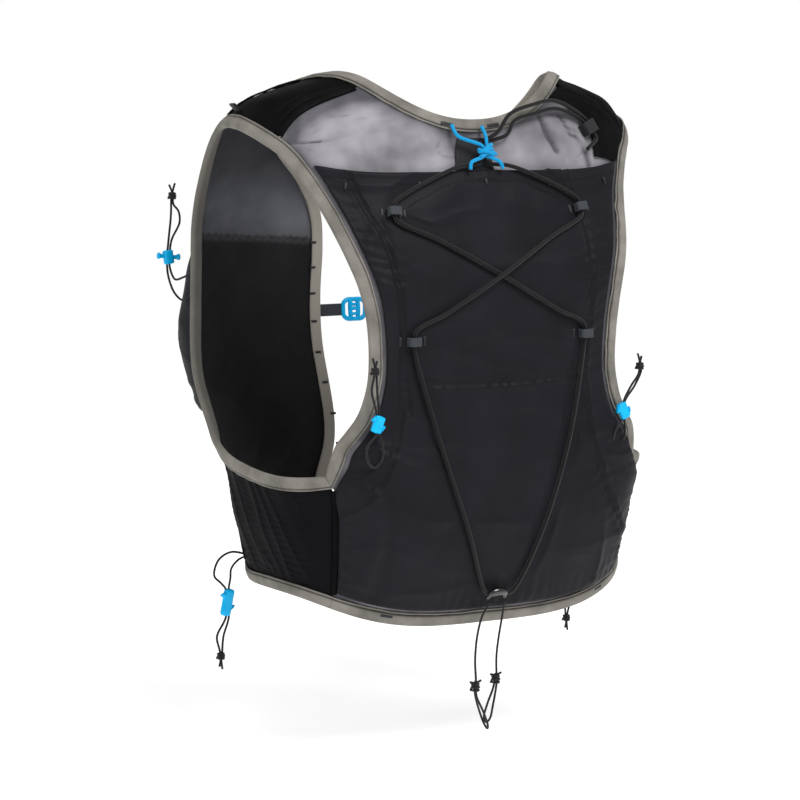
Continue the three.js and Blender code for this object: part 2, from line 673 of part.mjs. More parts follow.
// Adjusters: a thin cord doubled through a knot and a blue lock. The chest and lower ones are alike on both
// sides; the two on the back of the armholes hang differently.
const chestAdjuster = {
  lock: [145.2, -150, -133],
  knot: [141.6, -150, -88.5],
  size: [17, 7.5],
  path: [
    [142.6, -150, -86], [142.6, -150, -92], [142.9, -150, -103], [145, -150, -121], [146.2, -150, -133],
    [145.6, -150, -146], [141.5, -148, -159], [138.4, -140, -164], [135.6, -130.7, -158], [133.9, -127, -150],
    [135.6, -129.7, -144], [138.6, -138, -147], [141.6, -147, -149], [144, -150, -141], [144.2, -150, -133],
    [142.6, -150, -121], [136, -150, -108], [136.8, -150, -100], [140.9, -150, -94.5], [140.8, -150, -86],
  ],
};
const lowerAdjuster = {
  lock: [141.3, -66, -374],
  knot: [146.6, -66, -412],
  size: [11, 17],
  path: [
    [147.6, -66, -415], [147.5, -66, -409], [149.7, -66, -398], [142.4, -66, -384], [142.3, -66, -365],
    [146, -66, -360], [151.5, -66, -354], [148, -66, -343], [138, -65.6, -338], [127.8, -63.2, -340.8],
    [133, -65, -344], [138, -66, -350], [138.8, -66, -357], [140.3, -66, -365], [140.3, -66, -385],
    [144.5, -66, -398], [145.6, -66, -409], [145.6, -66, -415],
  ],
};
const backAdjusters = {
  left: {
    lock: [97, 73, -235],
    knot: [99, 73, -199],
    size: [11, 9],
    path: [
      [100, 73, -197], [100, 73, -203], [101.8, 73, -212], [98.1, 73, -228], [98, 73, -241], [105, 72, -251],
      [103.5, 72, -261], [97.2, 70.2, -264.5], [93.4, 72.8, -258], [94, 74, -249], [96, 73, -241],
      [96.1, 73, -228], [97.6, 73, -212], [98, 73, -203], [98, 73, -197],
    ],
  },
  right: {
    lock: [-102, 73, -237],
    knot: [-116.5, 72, -206],
    size: [11, 9],
    path: [
      [-115.6, 72, -204], [-115.6, 72, -211], [-109, 72, -220], [-102, 73, -231], [-101, 73, -243],
      [-94, 74, -252], [-93, 73.4, -260], [-96.9, 70.8, -263.7], [-103, 72.6, -256], [-103, 73, -243],
      [-103, 73, -231], [-112, 72, -220], [-117.4, 72, -210], [-117.4, 72, -204],
    ],
  },
};

function addAdjuster(name, spec, sign) {
  const path = cord(points(spec.path), thinCordDiameter, spec.path.length + 2);
  addPiece(`${name}_cord`, path.scale(sign, 1, 1), colours.black);
  addPiece(`${name}_lock`, cordLock(...spec.size).translate(...spec.lock).scale(sign, 1, 1), colours.blue, 0.4);
  addPiece(`${name}_knot`, knot(3.8, 6, thinCordDiameter).translate(...spec.knot).scale(sign, 1, 1), colours.black);
}

for (const [side, sign] of [['left', 1], ['right', -1]]) {
  addAdjuster(`chest_adjuster_${side}`, chestAdjuster, sign);
  addAdjuster(`lower_adjuster_${side}`, lowerAdjuster, sign);
  addAdjuster(`back_adjuster_${side}`, backAdjusters[side], 1);
}

export default vest;
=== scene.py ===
import math

import bmesh
import bpy
import numpy as np
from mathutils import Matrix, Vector


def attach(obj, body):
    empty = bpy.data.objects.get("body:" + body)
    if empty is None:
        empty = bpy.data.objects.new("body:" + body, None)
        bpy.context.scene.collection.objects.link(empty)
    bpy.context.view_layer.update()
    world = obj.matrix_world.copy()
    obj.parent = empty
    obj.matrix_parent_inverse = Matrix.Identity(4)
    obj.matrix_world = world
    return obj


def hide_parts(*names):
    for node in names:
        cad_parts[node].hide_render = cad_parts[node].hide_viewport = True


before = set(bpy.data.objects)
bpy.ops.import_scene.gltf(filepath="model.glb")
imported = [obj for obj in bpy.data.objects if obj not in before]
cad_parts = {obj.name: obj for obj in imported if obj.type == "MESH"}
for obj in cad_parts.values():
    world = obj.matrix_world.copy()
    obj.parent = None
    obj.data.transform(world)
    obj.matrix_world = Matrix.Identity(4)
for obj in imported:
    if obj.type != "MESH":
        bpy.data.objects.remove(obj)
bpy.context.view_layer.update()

# ---- Camera, light and floor: a vest held up in front of white, seen from behind its wearer's left
# shoulder. A long lens keeps the two shoulders nearly the same size. One large soft light stands high on
# the left of the view, a weaker one on the right, and the floor lies just under the hanging cords.
azimuth, elevation = math.radians(150), math.radians(6.4)
toward_camera = Vector((math.sin(azimuth) * math.cos(elevation),
                        -math.cos(azimuth) * math.cos(elevation), math.sin(elevation)))
aim = Vector((0.028, -0.017, -0.231))
camera = bpy.data.objects.new("camera", bpy.data.cameras.new("camera"))
camera.data.lens = 130
camera.data.sensor_width = 36
camera.location = aim + toward_camera * 2.05
camera.rotation_euler = toward_camera.to_track_quat("Z", "Y").to_euler()
bpy.context.scene.collection.objects.link(camera)
bpy.context.scene.camera = camera
bpy.context.scene.view_settings.view_transform = "Standard"

studio = bpy.data.worlds.new("studio")
studio.use_nodes = True
backdrop = studio.node_tree.nodes["Background"]
backdrop.inputs["Color"].default_value = (1, 1, 1, 1)
light_path = studio.node_tree.nodes.new("ShaderNodeLightPath")
seen_white = studio.node_tree.nodes.new("ShaderNodeMapRange")
seen_white.inputs["To Min"].default_value = 0.5
seen_white.inputs["To Max"].default_value = 1.0
studio.node_tree.links.new(light_path.outputs["Is Camera Ray"], seen_white.inputs["Value"])
studio.node_tree.links.new(seen_white.outputs[0], backdrop.inputs["Strength"])
bpy.context.scene.world = studio
view_left = Vector((0, 0, 1)).cross(toward_camera).normalized() * -1


def soft_light(name, left, up, near, size, power):
    lamp = bpy.data.objects.new(name, bpy.data.lights.new(name, "AREA"))
    lamp.data.shape = "DISK"
    lamp.data.size = size
    lamp.data.energy = power
    lamp.location = aim + view_left * left + Vector((0, 0, up)) + toward_camera * near
    lamp.rotation_euler = (lamp.location - aim).to_track_quat("Z", "Y").to_euler()
    bpy.context.scene.collection.objects.link(lamp)


soft_light("key_light", -0.8, 1.5, 1.1, 1.1, 36)
soft_light("side_light", 1.5, 0.7, 0.7, 1.0, 6)


def paint(code):
    """A colour in Blender's linear light from the six figures of a screen colour."""
    parts = [int(code[k:k + 2], 16) / 255 for k in (0, 2, 4)]
    return tuple(p / 12.92 if p <= 0.04045 else ((p + 0.055) / 1.055) ** 2.4 for p in parts) + (1,)


def put(tree, kind, inputs=None, **settings):
    """A shader node with its settings and inputs; an input may be a value or another node's output."""
    made = tree.nodes.new(kind)
    for key, value in settings.items():
        setattr(made, key, value)
    for key, value in (inputs or {}).items():
        if isinstance(value, bpy.types.NodeSocket):
            tree.links.new(value, made.inputs[key])
        else:
            made.inputs[key].default_value = value
    return made


def surface(name, roughness, specular, **sockets):
    """A new material with its tree and its shader, with the values that are the same all over it."""
    material = bpy.data.materials.new(name)
    material.use_nodes = True
    tree = material.node_tree
    shader = tree.nodes["Principled BSDF"]
    shader.inputs["Roughness"].default_value = roughness
    shader.inputs["Specular IOR Level"].default_value = specular
    for key, value in sockets.items():
        shader.inputs[key.replace("_", " ")].default_value = value
    return material, tree, shader


def math_of(tree, operation, *values):
    return put(tree, "ShaderNodeMath", dict(enumerate(values)), operation=operation).outputs[0]


def blend_colours(tree, factor, first, second, kind="MIX"):
    return put(tree, "ShaderNodeMix", {0: factor, 6: first, 7: second},
               data_type="RGBA", blend_type=kind).outputs[2]


def object_noise(tree, scale, detail=2.0):
    """Random values from a piece's own place in the vest's frame."""
    body = put(tree, "ShaderNodeTexCoord").outputs["Object"]
    return put(tree, "ShaderNodeTexNoise", {"Vector": body, "Scale": scale, "Detail": detail}).outputs[0]


def dress(tree, shader, colour, height=None, strength=0.3, distance=0.0002):
    """Gives a shader its colour and, from heights, its fine relief, whose distance is in metres."""
    tree.links.new(colour, shader.inputs["Base Color"])
    if height is not None:
        bump = put(tree, "ShaderNodeBump", {"Strength": strength, "Distance": distance, "Height": height})
        tree.links.new(bump.outputs[0], shader.inputs["Normal"])


floor_material, floor_tree, floor_shader = surface(
    "pale_floor", 0.8, 0.1, Emission_Color=(1, 1, 1, 1), Emission_Strength=0.5)
floor_spots = put(floor_tree, "ShaderNodeTexNoise", {"Scale": 40.0, "Detail": 2.0})
dress(floor_tree, floor_shader,
      blend_colours(floor_tree, floor_spots.outputs[0], paint("f6f6f6"), paint("fbfbfb")))
floor_shape = bmesh.new()
bmesh.ops.create_circle(floor_shape, cap_ends=True, segments=96, radius=3.2)
bmesh.ops.translate(floor_shape, vec=(0, 0, -0.475), verts=floor_shape.verts)
floor_mesh = bpy.data.meshes.new("floor")
floor_shape.to_mesh(floor_mesh)
floor_shape.free()
floor_mesh.materials.append(floor_material)
floor = bpy.data.objects.new("floor", floor_mesh)
bpy.context.scene.collection.objects.link(floor)

# ---- Free cords: thin black round cord with a braided sleeve, doubled through a lock and tied off in a
# small knot. Six adjust the vest, on the chest, at the lower front and behind each armhole, and two hang
# from the hook at the back hem. All of it is one woven sleeve over a core, 1.6 mm across.
MM = 0.001
thin_cord = 1.6


def curve_through(points, places, centripetal=False):
    """Values on the smooth curve through rows of points, at places counted in rows."""
    rows = np.asarray(points, float)
    rows = np.concatenate([2 * rows[:1] - rows[1:2], rows, 2 * rows[-1:] - rows[-2:-1]])
    places = np.asarray(places, float)
    start = np.clip(places.astype(int), 0, len(rows) - 4)
    before, first, second, after = (rows[start + k] for k in range(4))
    t = (places - start).reshape((-1,) + (1,) * (rows.ndim - 1))
    if centripetal:
        step = [np.maximum(np.linalg.norm(b - a, axis=-1, keepdims=True), 1e-9) ** 0.5
                for a, b in ((before, first), (first, second), (second, after))]
        leave = ((first - before) / step[0] - (second - before) / (step[0] + step[1])) * step[1] + second - first
        arrive = ((after - second) / step[2] - (after - first) / (step[1] + step[2])) * step[1] + second - first
    else:
        leave, arrive = (second - before) / 2, (after - first) / 2
    return ((2 * t**3 - 3 * t**2 + 1) * first + (t**3 - 2 * t**2 + t) * leave
            + (3 * t**2 - 2 * t**3) * second + (t**3 - t**2) * arrive)


def closer(line, times):
    """The smooth curve through a line's points, with that many steps from each to the next."""
    return curve_through(line, np.linspace(0, len(line) - 1, (len(line) - 1) * times + 1))


def evenly(points, spacing):
    """Points a set distance apart along the smooth curve through a cord's points."""
    dense = curve_through(points, np.linspace(0, len(points) - 1, 40 * len(points)), True)
    length = np.concatenate([[0], np.cumsum(np.linalg.norm(np.diff(dense, axis=0), axis=1))])
    wanted = np.linspace(0, length[-1], max(int(length[-1] / spacing), 4) + 1)
    return np.stack([np.interp(wanted, length, dense[:, k]) for k in range(3)], axis=1)


def runs_of(points):
    """Distances over a grid of points, along its rows from their middle and up its columns."""
    across = np.zeros(points.shape[:2])
    across[:, 1:] = np.cumsum(np.linalg.norm(np.diff(points, axis=1), axis=2), axis=1)
    across -= across[:, -1:] / 2
    up = np.zeros(points.shape[:2])
    up[1:] = np.cumsum(np.linalg.norm(np.diff(points, axis=0), axis=2), axis=0)
    return across, up


def add_grid(shape, points, tube=False):
    """Bends a flat grid to rows of points in millimetres and writes its distances, in metres, as its UV map."""
    points = points * MM
    rows, columns = points.shape[:2]
    fresh = bmesh.ops.create_grid(shape, x_segments=columns - 1, y_segments=rows - 1, size=1)["verts"]
    uv = shape.loops.layers.uv.verify()
    across, up = runs_of(points)
    spot = {v: (round((v.co.y + 1) / 2 * (rows - 1)), round((v.co.x + 1) / 2 * (columns - 1))) for v in fresh}
    for v, where in spot.items():
        v.co = points[where]
    for face in {f for v in fresh for f in v.link_faces}:
        face.smooth = True
        for loop in face.loops:
            where = spot[loop.vert]
            loop[uv].uv = (across[where], up[where])
    if tube:
        bmesh.ops.remove_doubles(shape, verts=fresh, dist=1e-7)
        rims = [e for e in shape.edges if e.is_boundary]
        if rims:
            bmesh.ops.holes_fill(shape, edges=rims, sides=0)
    return fresh


def add_tube(shape, path, radius, sides=10):
    """A round cord along its points, in millimetres; the radius may change along it."""
    path = np.asarray(path, float)
    travel = np.gradient(path, axis=0)
    travel /= np.linalg.norm(travel, axis=1, keepdims=True)
    aside = np.cross(travel[0], (0.31, 0.52, 0.79))
    sides_of = []
    for direction in travel:
        aside = aside - direction * np.dot(aside, direction)
        aside /= np.linalg.norm(aside)
        sides_of.append(aside)
    aside = np.array(sides_of)
    third = np.cross(travel, aside)
    radius = np.broadcast_to(radius, len(path)).reshape(-1, 1, 1)
    turn = np.linspace(0, 2 * math.pi, sides + 1)
    ring = np.cos(turn)[None, :, None] * aside[:, None] + np.sin(turn)[None, :, None] * third[:, None]
    add_grid(shape, path[:, None] + ring * radius, tube=True)


def facing_out(shape):
    if shape.calc_volume(signed=True) < 0:
        bmesh.ops.reverse_faces(shape, faces=shape.faces)


def settle(name, shape, material, slot, *nodes, closed=True):
    """Makes a piece of the vest from a finished shape, in place of its solids."""
    if closed:
        facing_out(shape)
    mesh = bpy.data.meshes.new(name)
    shape.to_mesh(mesh)
    shape.free()
    mesh.materials.append(material)
    piece = bpy.data.objects.new(name, mesh)
    bpy.context.scene.collection.objects.link(piece)
    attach(piece, "root")
    if nodes:
        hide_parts(*nodes)
    return piece


def braid(name, dark, light, diameter, specular=0.25):
    """A cord's sleeve: two sets of strands that wind round it and cross, from its own UV map."""
    material, tree, shader = surface(name, 0.62, specular, Sheen_Weight=0.15)
    cord_uv = put(tree, "ShaderNodeSeparateXYZ", {0: put(tree, "ShaderNodeUVMap", uv_map="UVMap").outputs[0]})
    around = math_of(tree, "MULTIPLY", cord_uv.outputs[0], 12 / (math.pi * diameter) * math.pi)
    along = math_of(tree, "MULTIPLY", cord_uv.outputs[1], math.pi / (0.42 * diameter))
    one = math_of(tree, "ABSOLUTE", math_of(tree, "SINE", math_of(tree, "ADD", around, along)))
    two = math_of(tree, "ABSOLUTE", math_of(tree, "SINE", math_of(tree, "SUBTRACT", around, along)))
    height = math_of(tree, "MAXIMUM", one, two)
    dress(tree, shader, blend_colours(tree, math_of(tree, "POWER", height, 3.0), dark, light), height, 0.6)
    return material


thin_braid = braid("thin_black_cord", paint("070708"), paint("19191c"), thin_cord * MM)

adjusters = {
    "chest": dict(
        lock=(145.2, -150, -133), knot=(141.6, -150, -88.5), size=(17, 7.5), turn=-8,
        path=[(142.6, -150, -86), (142.6, -150, -92), (142.9, -150, -103), (145, -150, -121), (146.2, -150, -133),
              (145.6, -150, -146), (141.5, -148, -159), (138.4, -140, -164), (135.6, -130.7, -158),
              (133.9, -127, -150), (135.6, -129.7, -144), (138.6, -138, -147), (141.6, -147, -149),
              (144, -150, -141), (144.2, -150, -133), (142.6, -150, -121), (136, -150, -108), (136.8, -150, -100),
              (140.9, -150, -94.5), (140.8, -150, -86)]),
    "lower": dict(
        lock=(141.3, -66, -374), knot=(146.6, -66, -412), size=(11, 17), turn=12,
        path=[(147.6, -66, -415), (147.5, -66, -409), (149.7, -66, -398), (142.4, -66, -384), (142.3, -66, -365),
              (146, -66, -360), (151.5, -66, -354), (148, -66, -343), (138, -65.6, -338), (127.8, -63.2, -340.8),
              (133, -65, -344), (138, -66, -350), (138.8, -66, -357), (140.3, -66, -365), (140.3, -66, -385),
              (144.5, -66, -398), (145.6, -66, -409), (145.6, -66, -415)]),
    "back_left": dict(
        lock=(97, 73, -235), knot=(99, 73, -199), size=(11, 9), turn=20,
        path=[(100, 73, -197), (100, 73, -203), (101.8, 73, -212), (98.1, 73, -228), (98, 73, -241),
              (105, 72, -251), (103.5, 72, -261), (97.2, 70.2, -264.5), (93.4, 72.8, -258), (94, 74, -249),
              (96, 73, -241), (96.1, 73, -228), (97.6, 73, -212), (98, 73, -203), (98, 73, -197)]),
    "back_right": dict(
        lock=(-102, 73, -237), knot=(-116.5, 72, -206), size=(11, 9), turn=-25,
        path=[(-115.6, 72, -204), (-115.6, 72, -211), (-109, 72, -220), (-102, 73, -231), (-101, 73, -243),
              (-94, 74, -252), (-93, 73.4, -260), (-96.9, 70.8, -263.7), (-103, 72.6, -256), (-103, 73, -243),
              (-103, 73, -231), (-112, 72, -220), (-117.4, 72, -210), (-117.4, 72, -204)]),
}
hanging_cords = {
    "left": dict(knot=(13, 62, -425), path=[
        (8, 73, -364.9), (11.5, 70, -372), (13.6, 66, -386), (14.2, 63.5, -405), (13.2, 62.9, -419),
        (13, 62.9, -425), (12.8, 62.9, -431), (7.6, 63.8, -443), (3.6, 63.4, -453), (2.6, 61, -456),
        (3.6, 58.4, -453), (7.6, 58.2, -443), (12.6, 61, -431), (13, 61.1, -425), (13, 61.1, -422)]),
    "right": dict(knot=(-3.6, 62, -421), path=[
        (-3.6, 73, -364.7), (-4.2, 70, -373), (-3.2, 66, -392), (-3.2, 63.5, -405), (-3.6, 62.9, -415),
        (-4, 62.9, -421), (-3.8, 62, -428), (-2, 61, -440), (0.4, 61, -449), (3.2, 61, -451.5), (5.4, 61, -448),
        (2.4, 61, -438), (-2, 61, -428), (-3.6, 61.1, -421)]),
}


def ridge(place, middle, width):
    """A smooth rise to 1 at its middle, down to about a third a width away from it."""
    return np.exp(-((place - middle) / width) ** 2)


def wound_knot(name, middle, height, material, slot, node, cord_size=thin_cord, reach=2.3, tails=(), up=1):
    """A knot pulled tight: two and a half turns round the cords it holds, and its cut ends."""
    middle = np.array(middle, float)
    shape = bmesh.new()
    turn = np.linspace(0, 5.4 * math.pi, 54)
    share = np.linspace(-1, 1, 54)
    swell = reach * (1 - 0.22 * share**2)
    coil = np.stack([swell * np.cos(turn), swell * 0.9 * np.sin(turn),
                     share * (height / 2 - cord_size / 2) + 0.5 * np.cos(turn)], axis=1)
    add_tube(shape, middle + coil, cord_size * 0.56, 8)
    cross = np.linspace(-1, 1, 22)
    lap = np.stack([reach * 1.05 * np.cos(1.2 + cross), -reach * np.sin(1.2 + 0.4 * cross) * 0.96,
                    cross * (height / 2 - 0.6)], axis=1)
    add_tube(shape, middle + lap, cord_size * 0.56, 8)
    for lean, depth, length in tails:
        t = np.linspace(0, 1, 9)[:, None]
        tail = np.array([[0, 0, up * height * 0.3]]) + t * [[lean, depth, up * length]] + t * t * [[0.3 * lean, 0, 0]]
        add_tube(shape, middle + tail, cord_size * 0.5, 8)
    return settle(name, shape, material, slot, node)


def lock_finish():
    """Moulded blue plastic with a soft gloss, faint flow marks and paler, scuffed high spots."""
    material, tree, shader = surface("blue_moulding", 0.36, 0.22)
    marks = object_noise(tree, 260.0, 3.0)
    tree.links.new(math_of(tree, "MULTIPLY_ADD", marks, 0.25, 0.22), shader.inputs["Roughness"])
    dress(tree, shader, blend_colours(tree, marks, paint("009bd8"), paint("05b9ef")), marks, 0.25)
    return material


blue_moulding = lock_finish()


def cord_lock(name, middle, size, turn, node, sign=1):
    """A spring cord lock: a waisted body with flared ends, and a short leaning arm to each side."""
    width, height = size
    shape = bmesh.new()
    level = np.linspace(-1, 1, 27)[:, None]
    round_it = np.linspace(0, 2 * math.pi, 33)[None, :]
    ends = np.sqrt(np.maximum(1 - np.abs(level) ** 7, 0))
    flare = 0.62 + 0.42 * np.abs(level) ** 2.2 + 0.10 * np.cos(level * math.pi)
    half = flare * ends * min(width, 11) / 2
    deep = (0.70 + 0.16 * np.abs(level) ** 2) * ends * 3.3
    corner = 2.6
    reach = (np.abs(np.cos(round_it)) ** corner + np.abs(np.sin(round_it)) ** corner) ** (-1 / corner)
    body = np.stack([half * np.cos(round_it) * reach, deep * np.sin(round_it) * reach,
                     level * (height / 2 + 1.6) + 0 * round_it], axis=2)
    add_grid(shape, body, tube=True)
    for side, tilt, long in ((-1, 0.3, 1.35), (1, 0.5, 1.25)):
        t = np.linspace(0, 1, 15)
        spine = np.stack([side * (1.6 + (width * 0.5 - 2.6) * long * t), 0.4 * np.sin(3 * t) * side,
                          tilt * height * (0.2 + 0.5 * t) * side], axis=1)
        thick = (1.5 + 1.0 * ridge(t, 0.86, 0.2)) * np.sqrt(np.clip(1 - (2 * t - 1) ** 10, 0.02, 1))
        add_tube(shape, spine, thick, 12)
    lean = math.radians(turn)
    across = np.array([math.cos(lean), 0, math.sin(lean)])
    upward = np.array([-math.sin(lean), 0, math.cos(lean)])
    for v in shape.verts:
        moved = across * v.co.x + upward * v.co.z + np.array([0, v.co.y, 0]) + np.array(middle) * MM
        v.co = (moved[0] * sign, moved[1], moved[2])
    return settle(name, shape, blue_moulding, "blue_plastic", node)


def free_cord(name, path, node):
    spaced = evenly(path, 0.9)
    shape = bmesh.new()
    add_tube(shape, spaced, thin_cord / 2, 10)
    piece = settle(name, shape, thin_braid, "black_cord", node)
    return piece


def adjuster(name, spec, sign=1, tails=((2.2, 0.6, 6), (-1.8, -0.4, 7)), up=1):
    flip = np.array([sign, 1, 1])
    x, y, z = spec["knot"]
    knot = wound_knot(f"{name}_wound_knot", (x * sign, y, z), 6, thin_braid, "black_cord", f"{name}_knot",
                      tails=tails, up=up)
    lock = cord_lock(f"{name}_cord_lock", spec["lock"], spec["size"], spec["turn"], f"{name}_lock", sign)
    free_cord(f"{name}_thin_cord", np.array(spec["path"]) * flip, f"{name}_cord")


for side, sign in (("left", 1), ("right", -1)):
    adjuster(f"chest_adjuster_{side}", adjusters["chest"], sign)
    adjuster(f"lower_adjuster_{side}", adjusters["lower"], sign, tails=((1.2, 0.3, 6), (-0.9, -0.3, 8)), up=-1)
    adjuster(f"back_adjuster_{side}", adjusters[f"back_{side}"], tails=((1.8, 0.4, 7), (-1.2, -0.4, 5)))
    spec = hanging_cords[side]
    knot = wound_knot(f"hanging_wound_knot_{side}", spec["knot"], 7.5, thin_braid, "black_cord",
                      f"hanging_knot_{side}", reach=2.6, tails=((3.6, 0.6, 1.5), (-3.2, 0.8, 2)))
    free_cord(f"hanging_thin_cord_{side}", np.array(spec["path"], float), f"hanging_cord_{side}")

# ---- Body form: the cloth is cut and held in the shape of a worn vest. An angle round the body and a
# share of the way from the hem to the neck give a point of it, and every edge, seam and fitting is a
# line or spot of those two numbers, the same ones that the solids are made from.
chest_width, chest_depth, back_length = 344, 197, 379
cloth_thickness, gap, seam_gap = 1, 0.7, 1.2
tape_width, tape_thickness = 9.5, 1


def table(columns, rows):
    return {name: np.array([row[k] for row in rows], float) for k, name in enumerate(columns.split())}


form = table("share half back front middle backCorner frontCorner sideDrop backDrop frontDrop", [
    [0.00, 0.780, 0.284, 0.467, 0.112, 3.4, 2.8, 0.934, 1.000, 0.839],
    [0.14, 0.815, 0.315, 0.508, 0.132, 3.6, 2.7, 0.844, 0.860, 0.760],
    [0.28, 0.866, 0.330, 0.545, 0.152, 3.8, 2.6, 0.728, 0.723, 0.675],
    [0.45, 0.977, 0.335, 0.655, 0.157, 4.4, 3.3, 0.559, 0.549, 0.512],
    [0.62, 1.000, 0.335, 0.665, 0.157, 4.2, 3.3, 0.364, 0.375, 0.348],
    [0.78, 0.965, 0.265, 0.619, 0.152, 2.6, 3.0, 0.200, 0.243, 0.243],
    [0.90, 0.837, 0.210, 0.508, 0.112, 2.3, 2.4, 0.063, 0.158, 0.180],
    [1.00, 0.488, 0.175, 0.386, 0.055, 2.2, 2.0, 0.000, 0.090, 0.150],
])


def along_table(rows, key, place, by="share"):
    """A table's column as a smooth curve over another column."""
    x, y = rows[by], rows[key]
    slope = np.concatenate([[(y[1] - y[0]) / (x[1] - x[0])], (y[2:] - y[:-2]) / (x[2:] - x[:-2]),
                            [(y[-1] - y[-2]) / (x[-1] - x[-2])]])
    place = np.asarray(place, float)
    i = np.clip(np.searchsorted(x, place, side="left") - 1, 0, len(x) - 2)
    span = x[i + 1] - x[i]
    t = (place - x[i]) / span
    return ((2 * t**3 - 3 * t**2 + 1) * y[i] + (t**3 - 2 * t**2 + t) * slope[i] * span
            + (3 * t**2 - 2 * t**3) * y[i + 1] + (t**3 - t**2) * slope[i + 1] * span)


def skin(spots):
    """Points of the body form, in millimetres, from angles round it and shares of its height."""
    angle, share = np.radians(spots[..., 0]), spots[..., 1]
    across, along = np.cos(angle), np.sin(angle)
    behind = along >= 0
    corner = np.where(behind, along_table(form, "backCorner", share), along_table(form, "frontCorner", share))
    reach = (np.abs(across) ** corner + np.abs(along) ** corner) ** (-1 / corner)
    middle = -along_table(form, "middle", share) * chest_depth
    depth = np.where(behind, along_table(form, "back", share) * chest_depth - middle,
                     along_table(form, "front", share) * chest_depth + middle)
    to_end = np.abs(along * reach) ** (corner * np.where(behind, 1.25, 1.3))
    side = along_table(form, "sideDrop", share)
    end = np.where(behind, along_table(form, "backDrop", share), along_table(form, "frontDrop", share))
    return np.stack([along_table(form, "half", share) * chest_width / 2 * across * reach,
                     middle + depth * along * reach, -(side + (end - side) * to_end) * back_length], axis=-1)


def directions(spots):
    """Travel per degree and per share, and the way out of the surface."""
    turn, rise = np.array([0.5, 0]), np.array([0, 0.002])
    per_angle = skin(spots + turn) - skin(spots - turn)
    per_share = (skin(spots + rise) - skin(spots - rise)) / 0.004
    out = np.cross(per_angle, per_share)
    return per_angle, per_share, out / np.linalg.norm(out, axis=-1, keepdims=True)


def at(spots, lift=0.0):
    spots = np.asarray(spots, float)
    return skin(spots) + directions(spots)[2] * np.asarray(lift, float)[..., None]


def mirrored(spots):
    return np.asarray(spots, float) * [-1, 1] + [180, 0]


def on_side(spots, side):
    """Spots as they are for the wearer's left, or mirrored for the right."""
    return np.asarray(spots, float) if side == "left" else mirrored(spots)


def straight(start, end, cells):
    t = np.linspace(0, 1, cells + 1)[:, None]
    return (1 - t) * np.asarray(start, float) + t * np.asarray(end, float)


def run(edge, first, last, cells):
    return curve_through(edge, np.linspace(first, last, cells + 1))


def inset(edge, distance, side, closed=False):
    """Spots a distance in from an edge, square to it: side 1 to the right of travel seen from outside."""
    before, after = np.roll(edge, 1, axis=0), np.roll(edge, -1, axis=0)
    before[0] = edge[-2] if closed else edge[0]
    after[-1] = edge[1] if closed else edge[-1]
    per_angle, per_share, out = directions(edge)
    inward = np.cross(skin(after) - skin(before), out)
    inward *= side * distance / np.linalg.norm(inward, axis=1, keepdims=True)
    aa, ss, cs = (per_angle**2).sum(1), (per_share**2).sum(1), (per_angle * per_share).sum(1)
    a, s = (per_angle * inward).sum(1), (per_share * inward).sum(1)
    scale = aa * ss - cs * cs
    return edge + np.stack([(a * ss - s * cs) / scale, (s * aa - a * cs) / scale], axis=1)


def join(*lines):
    return np.concatenate([lines[0], *[line[1:] for line in lines[1:]]])


def shortened(line):
    """A line with both ends drawn in by the gap of a seam."""
    line = np.array(line, float)
    lengths = [np.linalg.norm(skin(line[a]) - skin(line[b])) for a, b in ((0, 1), (-1, -2))]
    line[0] += (line[1] - line[0]) * seam_gap / lengths[0]
    line[-1] += (line[-2] - line[-1]) * seam_gap / lengths[1]
    return line


def grid_between(left, left_inner, right_inner, right, cells):
    return np.array([[a, *straight(b, c, cells), d] for a, b, c, d in zip(left, left_inner, right_inner, right)])


def finer(rows, down, across, even=False):
    """A grid of spots with more rows and columns: smooth through the ones that it has, or evenly between."""
    if even:
        places = np.linspace(0, len(rows) - 1, (len(rows) - 1) * down + 1)
        low = np.minimum(places.astype(int), len(rows) - 2)
        t = (places - low)[:, None, None]
        rows = (1 - t) * rows[low] + t * rows[low + 1]
    else:
        rows = closer(rows, down)
    return np.swapaxes(closer(np.swapaxes(rows, 0, 1), across), 0, 1)


armhole_edge = np.array([
    [45.5, 0.287], [50, 0.345], [55.8, 0.392], [59.3, 0.46], [59.3, 0.56], [56, 0.66], [50.5, 0.745],
    [41, 0.812], [29.5, 0.845], [9, 0.863], [-15, 0.866], [-30.5, 0.83], [-38.5, 0.76], [-42, 0.66],
    [-43, 0.55], [-40, 0.46], [-35, 0.395], [-28.5, 0.35], [-6, 0.306], [28, 0.285], [45.5, 0.287]])
neck_edge = np.array([
    [29, 1.00], [12, 0.995], [-12, 0.98], [-38, 0.94], [-64, 0.885], [-76, 0.79], [-79.8, 0.66], [-79.5, 0.52],
    [-79, 0.42], [-78.5, 0.35], [-76, 0.23], [-71, 0.11], [-65, 0.00]])
seam_hem, front_seam_hem = np.array([42.0, 0]), np.array([-28.0, 0])
armhole_back = run(armhole_edge, 0, 8, 16)
armhole_shoulder = run(armhole_edge, 8, 10, 3)
armhole_front = run(armhole_edge, 10, 17, 10)
armhole_side = run(armhole_edge, 17, 20, 6)
armhole = join(armhole_back, armhole_shoulder, armhole_front, armhole_side)
armhole_inner = inset(armhole, tape_width, 1, True)
front_start, side_start = 19, 29
back_cells = 10
neck_back = straight(neck_edge[0], mirrored(neck_edge[0]), back_cells)
neck_shoulder = run(neck_edge, 0, 2, 3)
neck_front = run(neck_edge, 2, 9, 10)
lower_front_edge = np.concatenate([run(neck_edge, 9, 11.7, 5), neck_edge[12:]])
neck_side = join(neck_shoulder, neck_front, lower_front_edge)
neck_line = join(neck_side[::-1], neck_back, mirrored(neck_side))
neck_inner = inset(neck_line, tape_width, 1)
neck_side_inner = neck_inner[:len(neck_side)][::-1]
neck_back_inner = neck_inner[len(neck_side) - 1:len(neck_side) + back_cells]
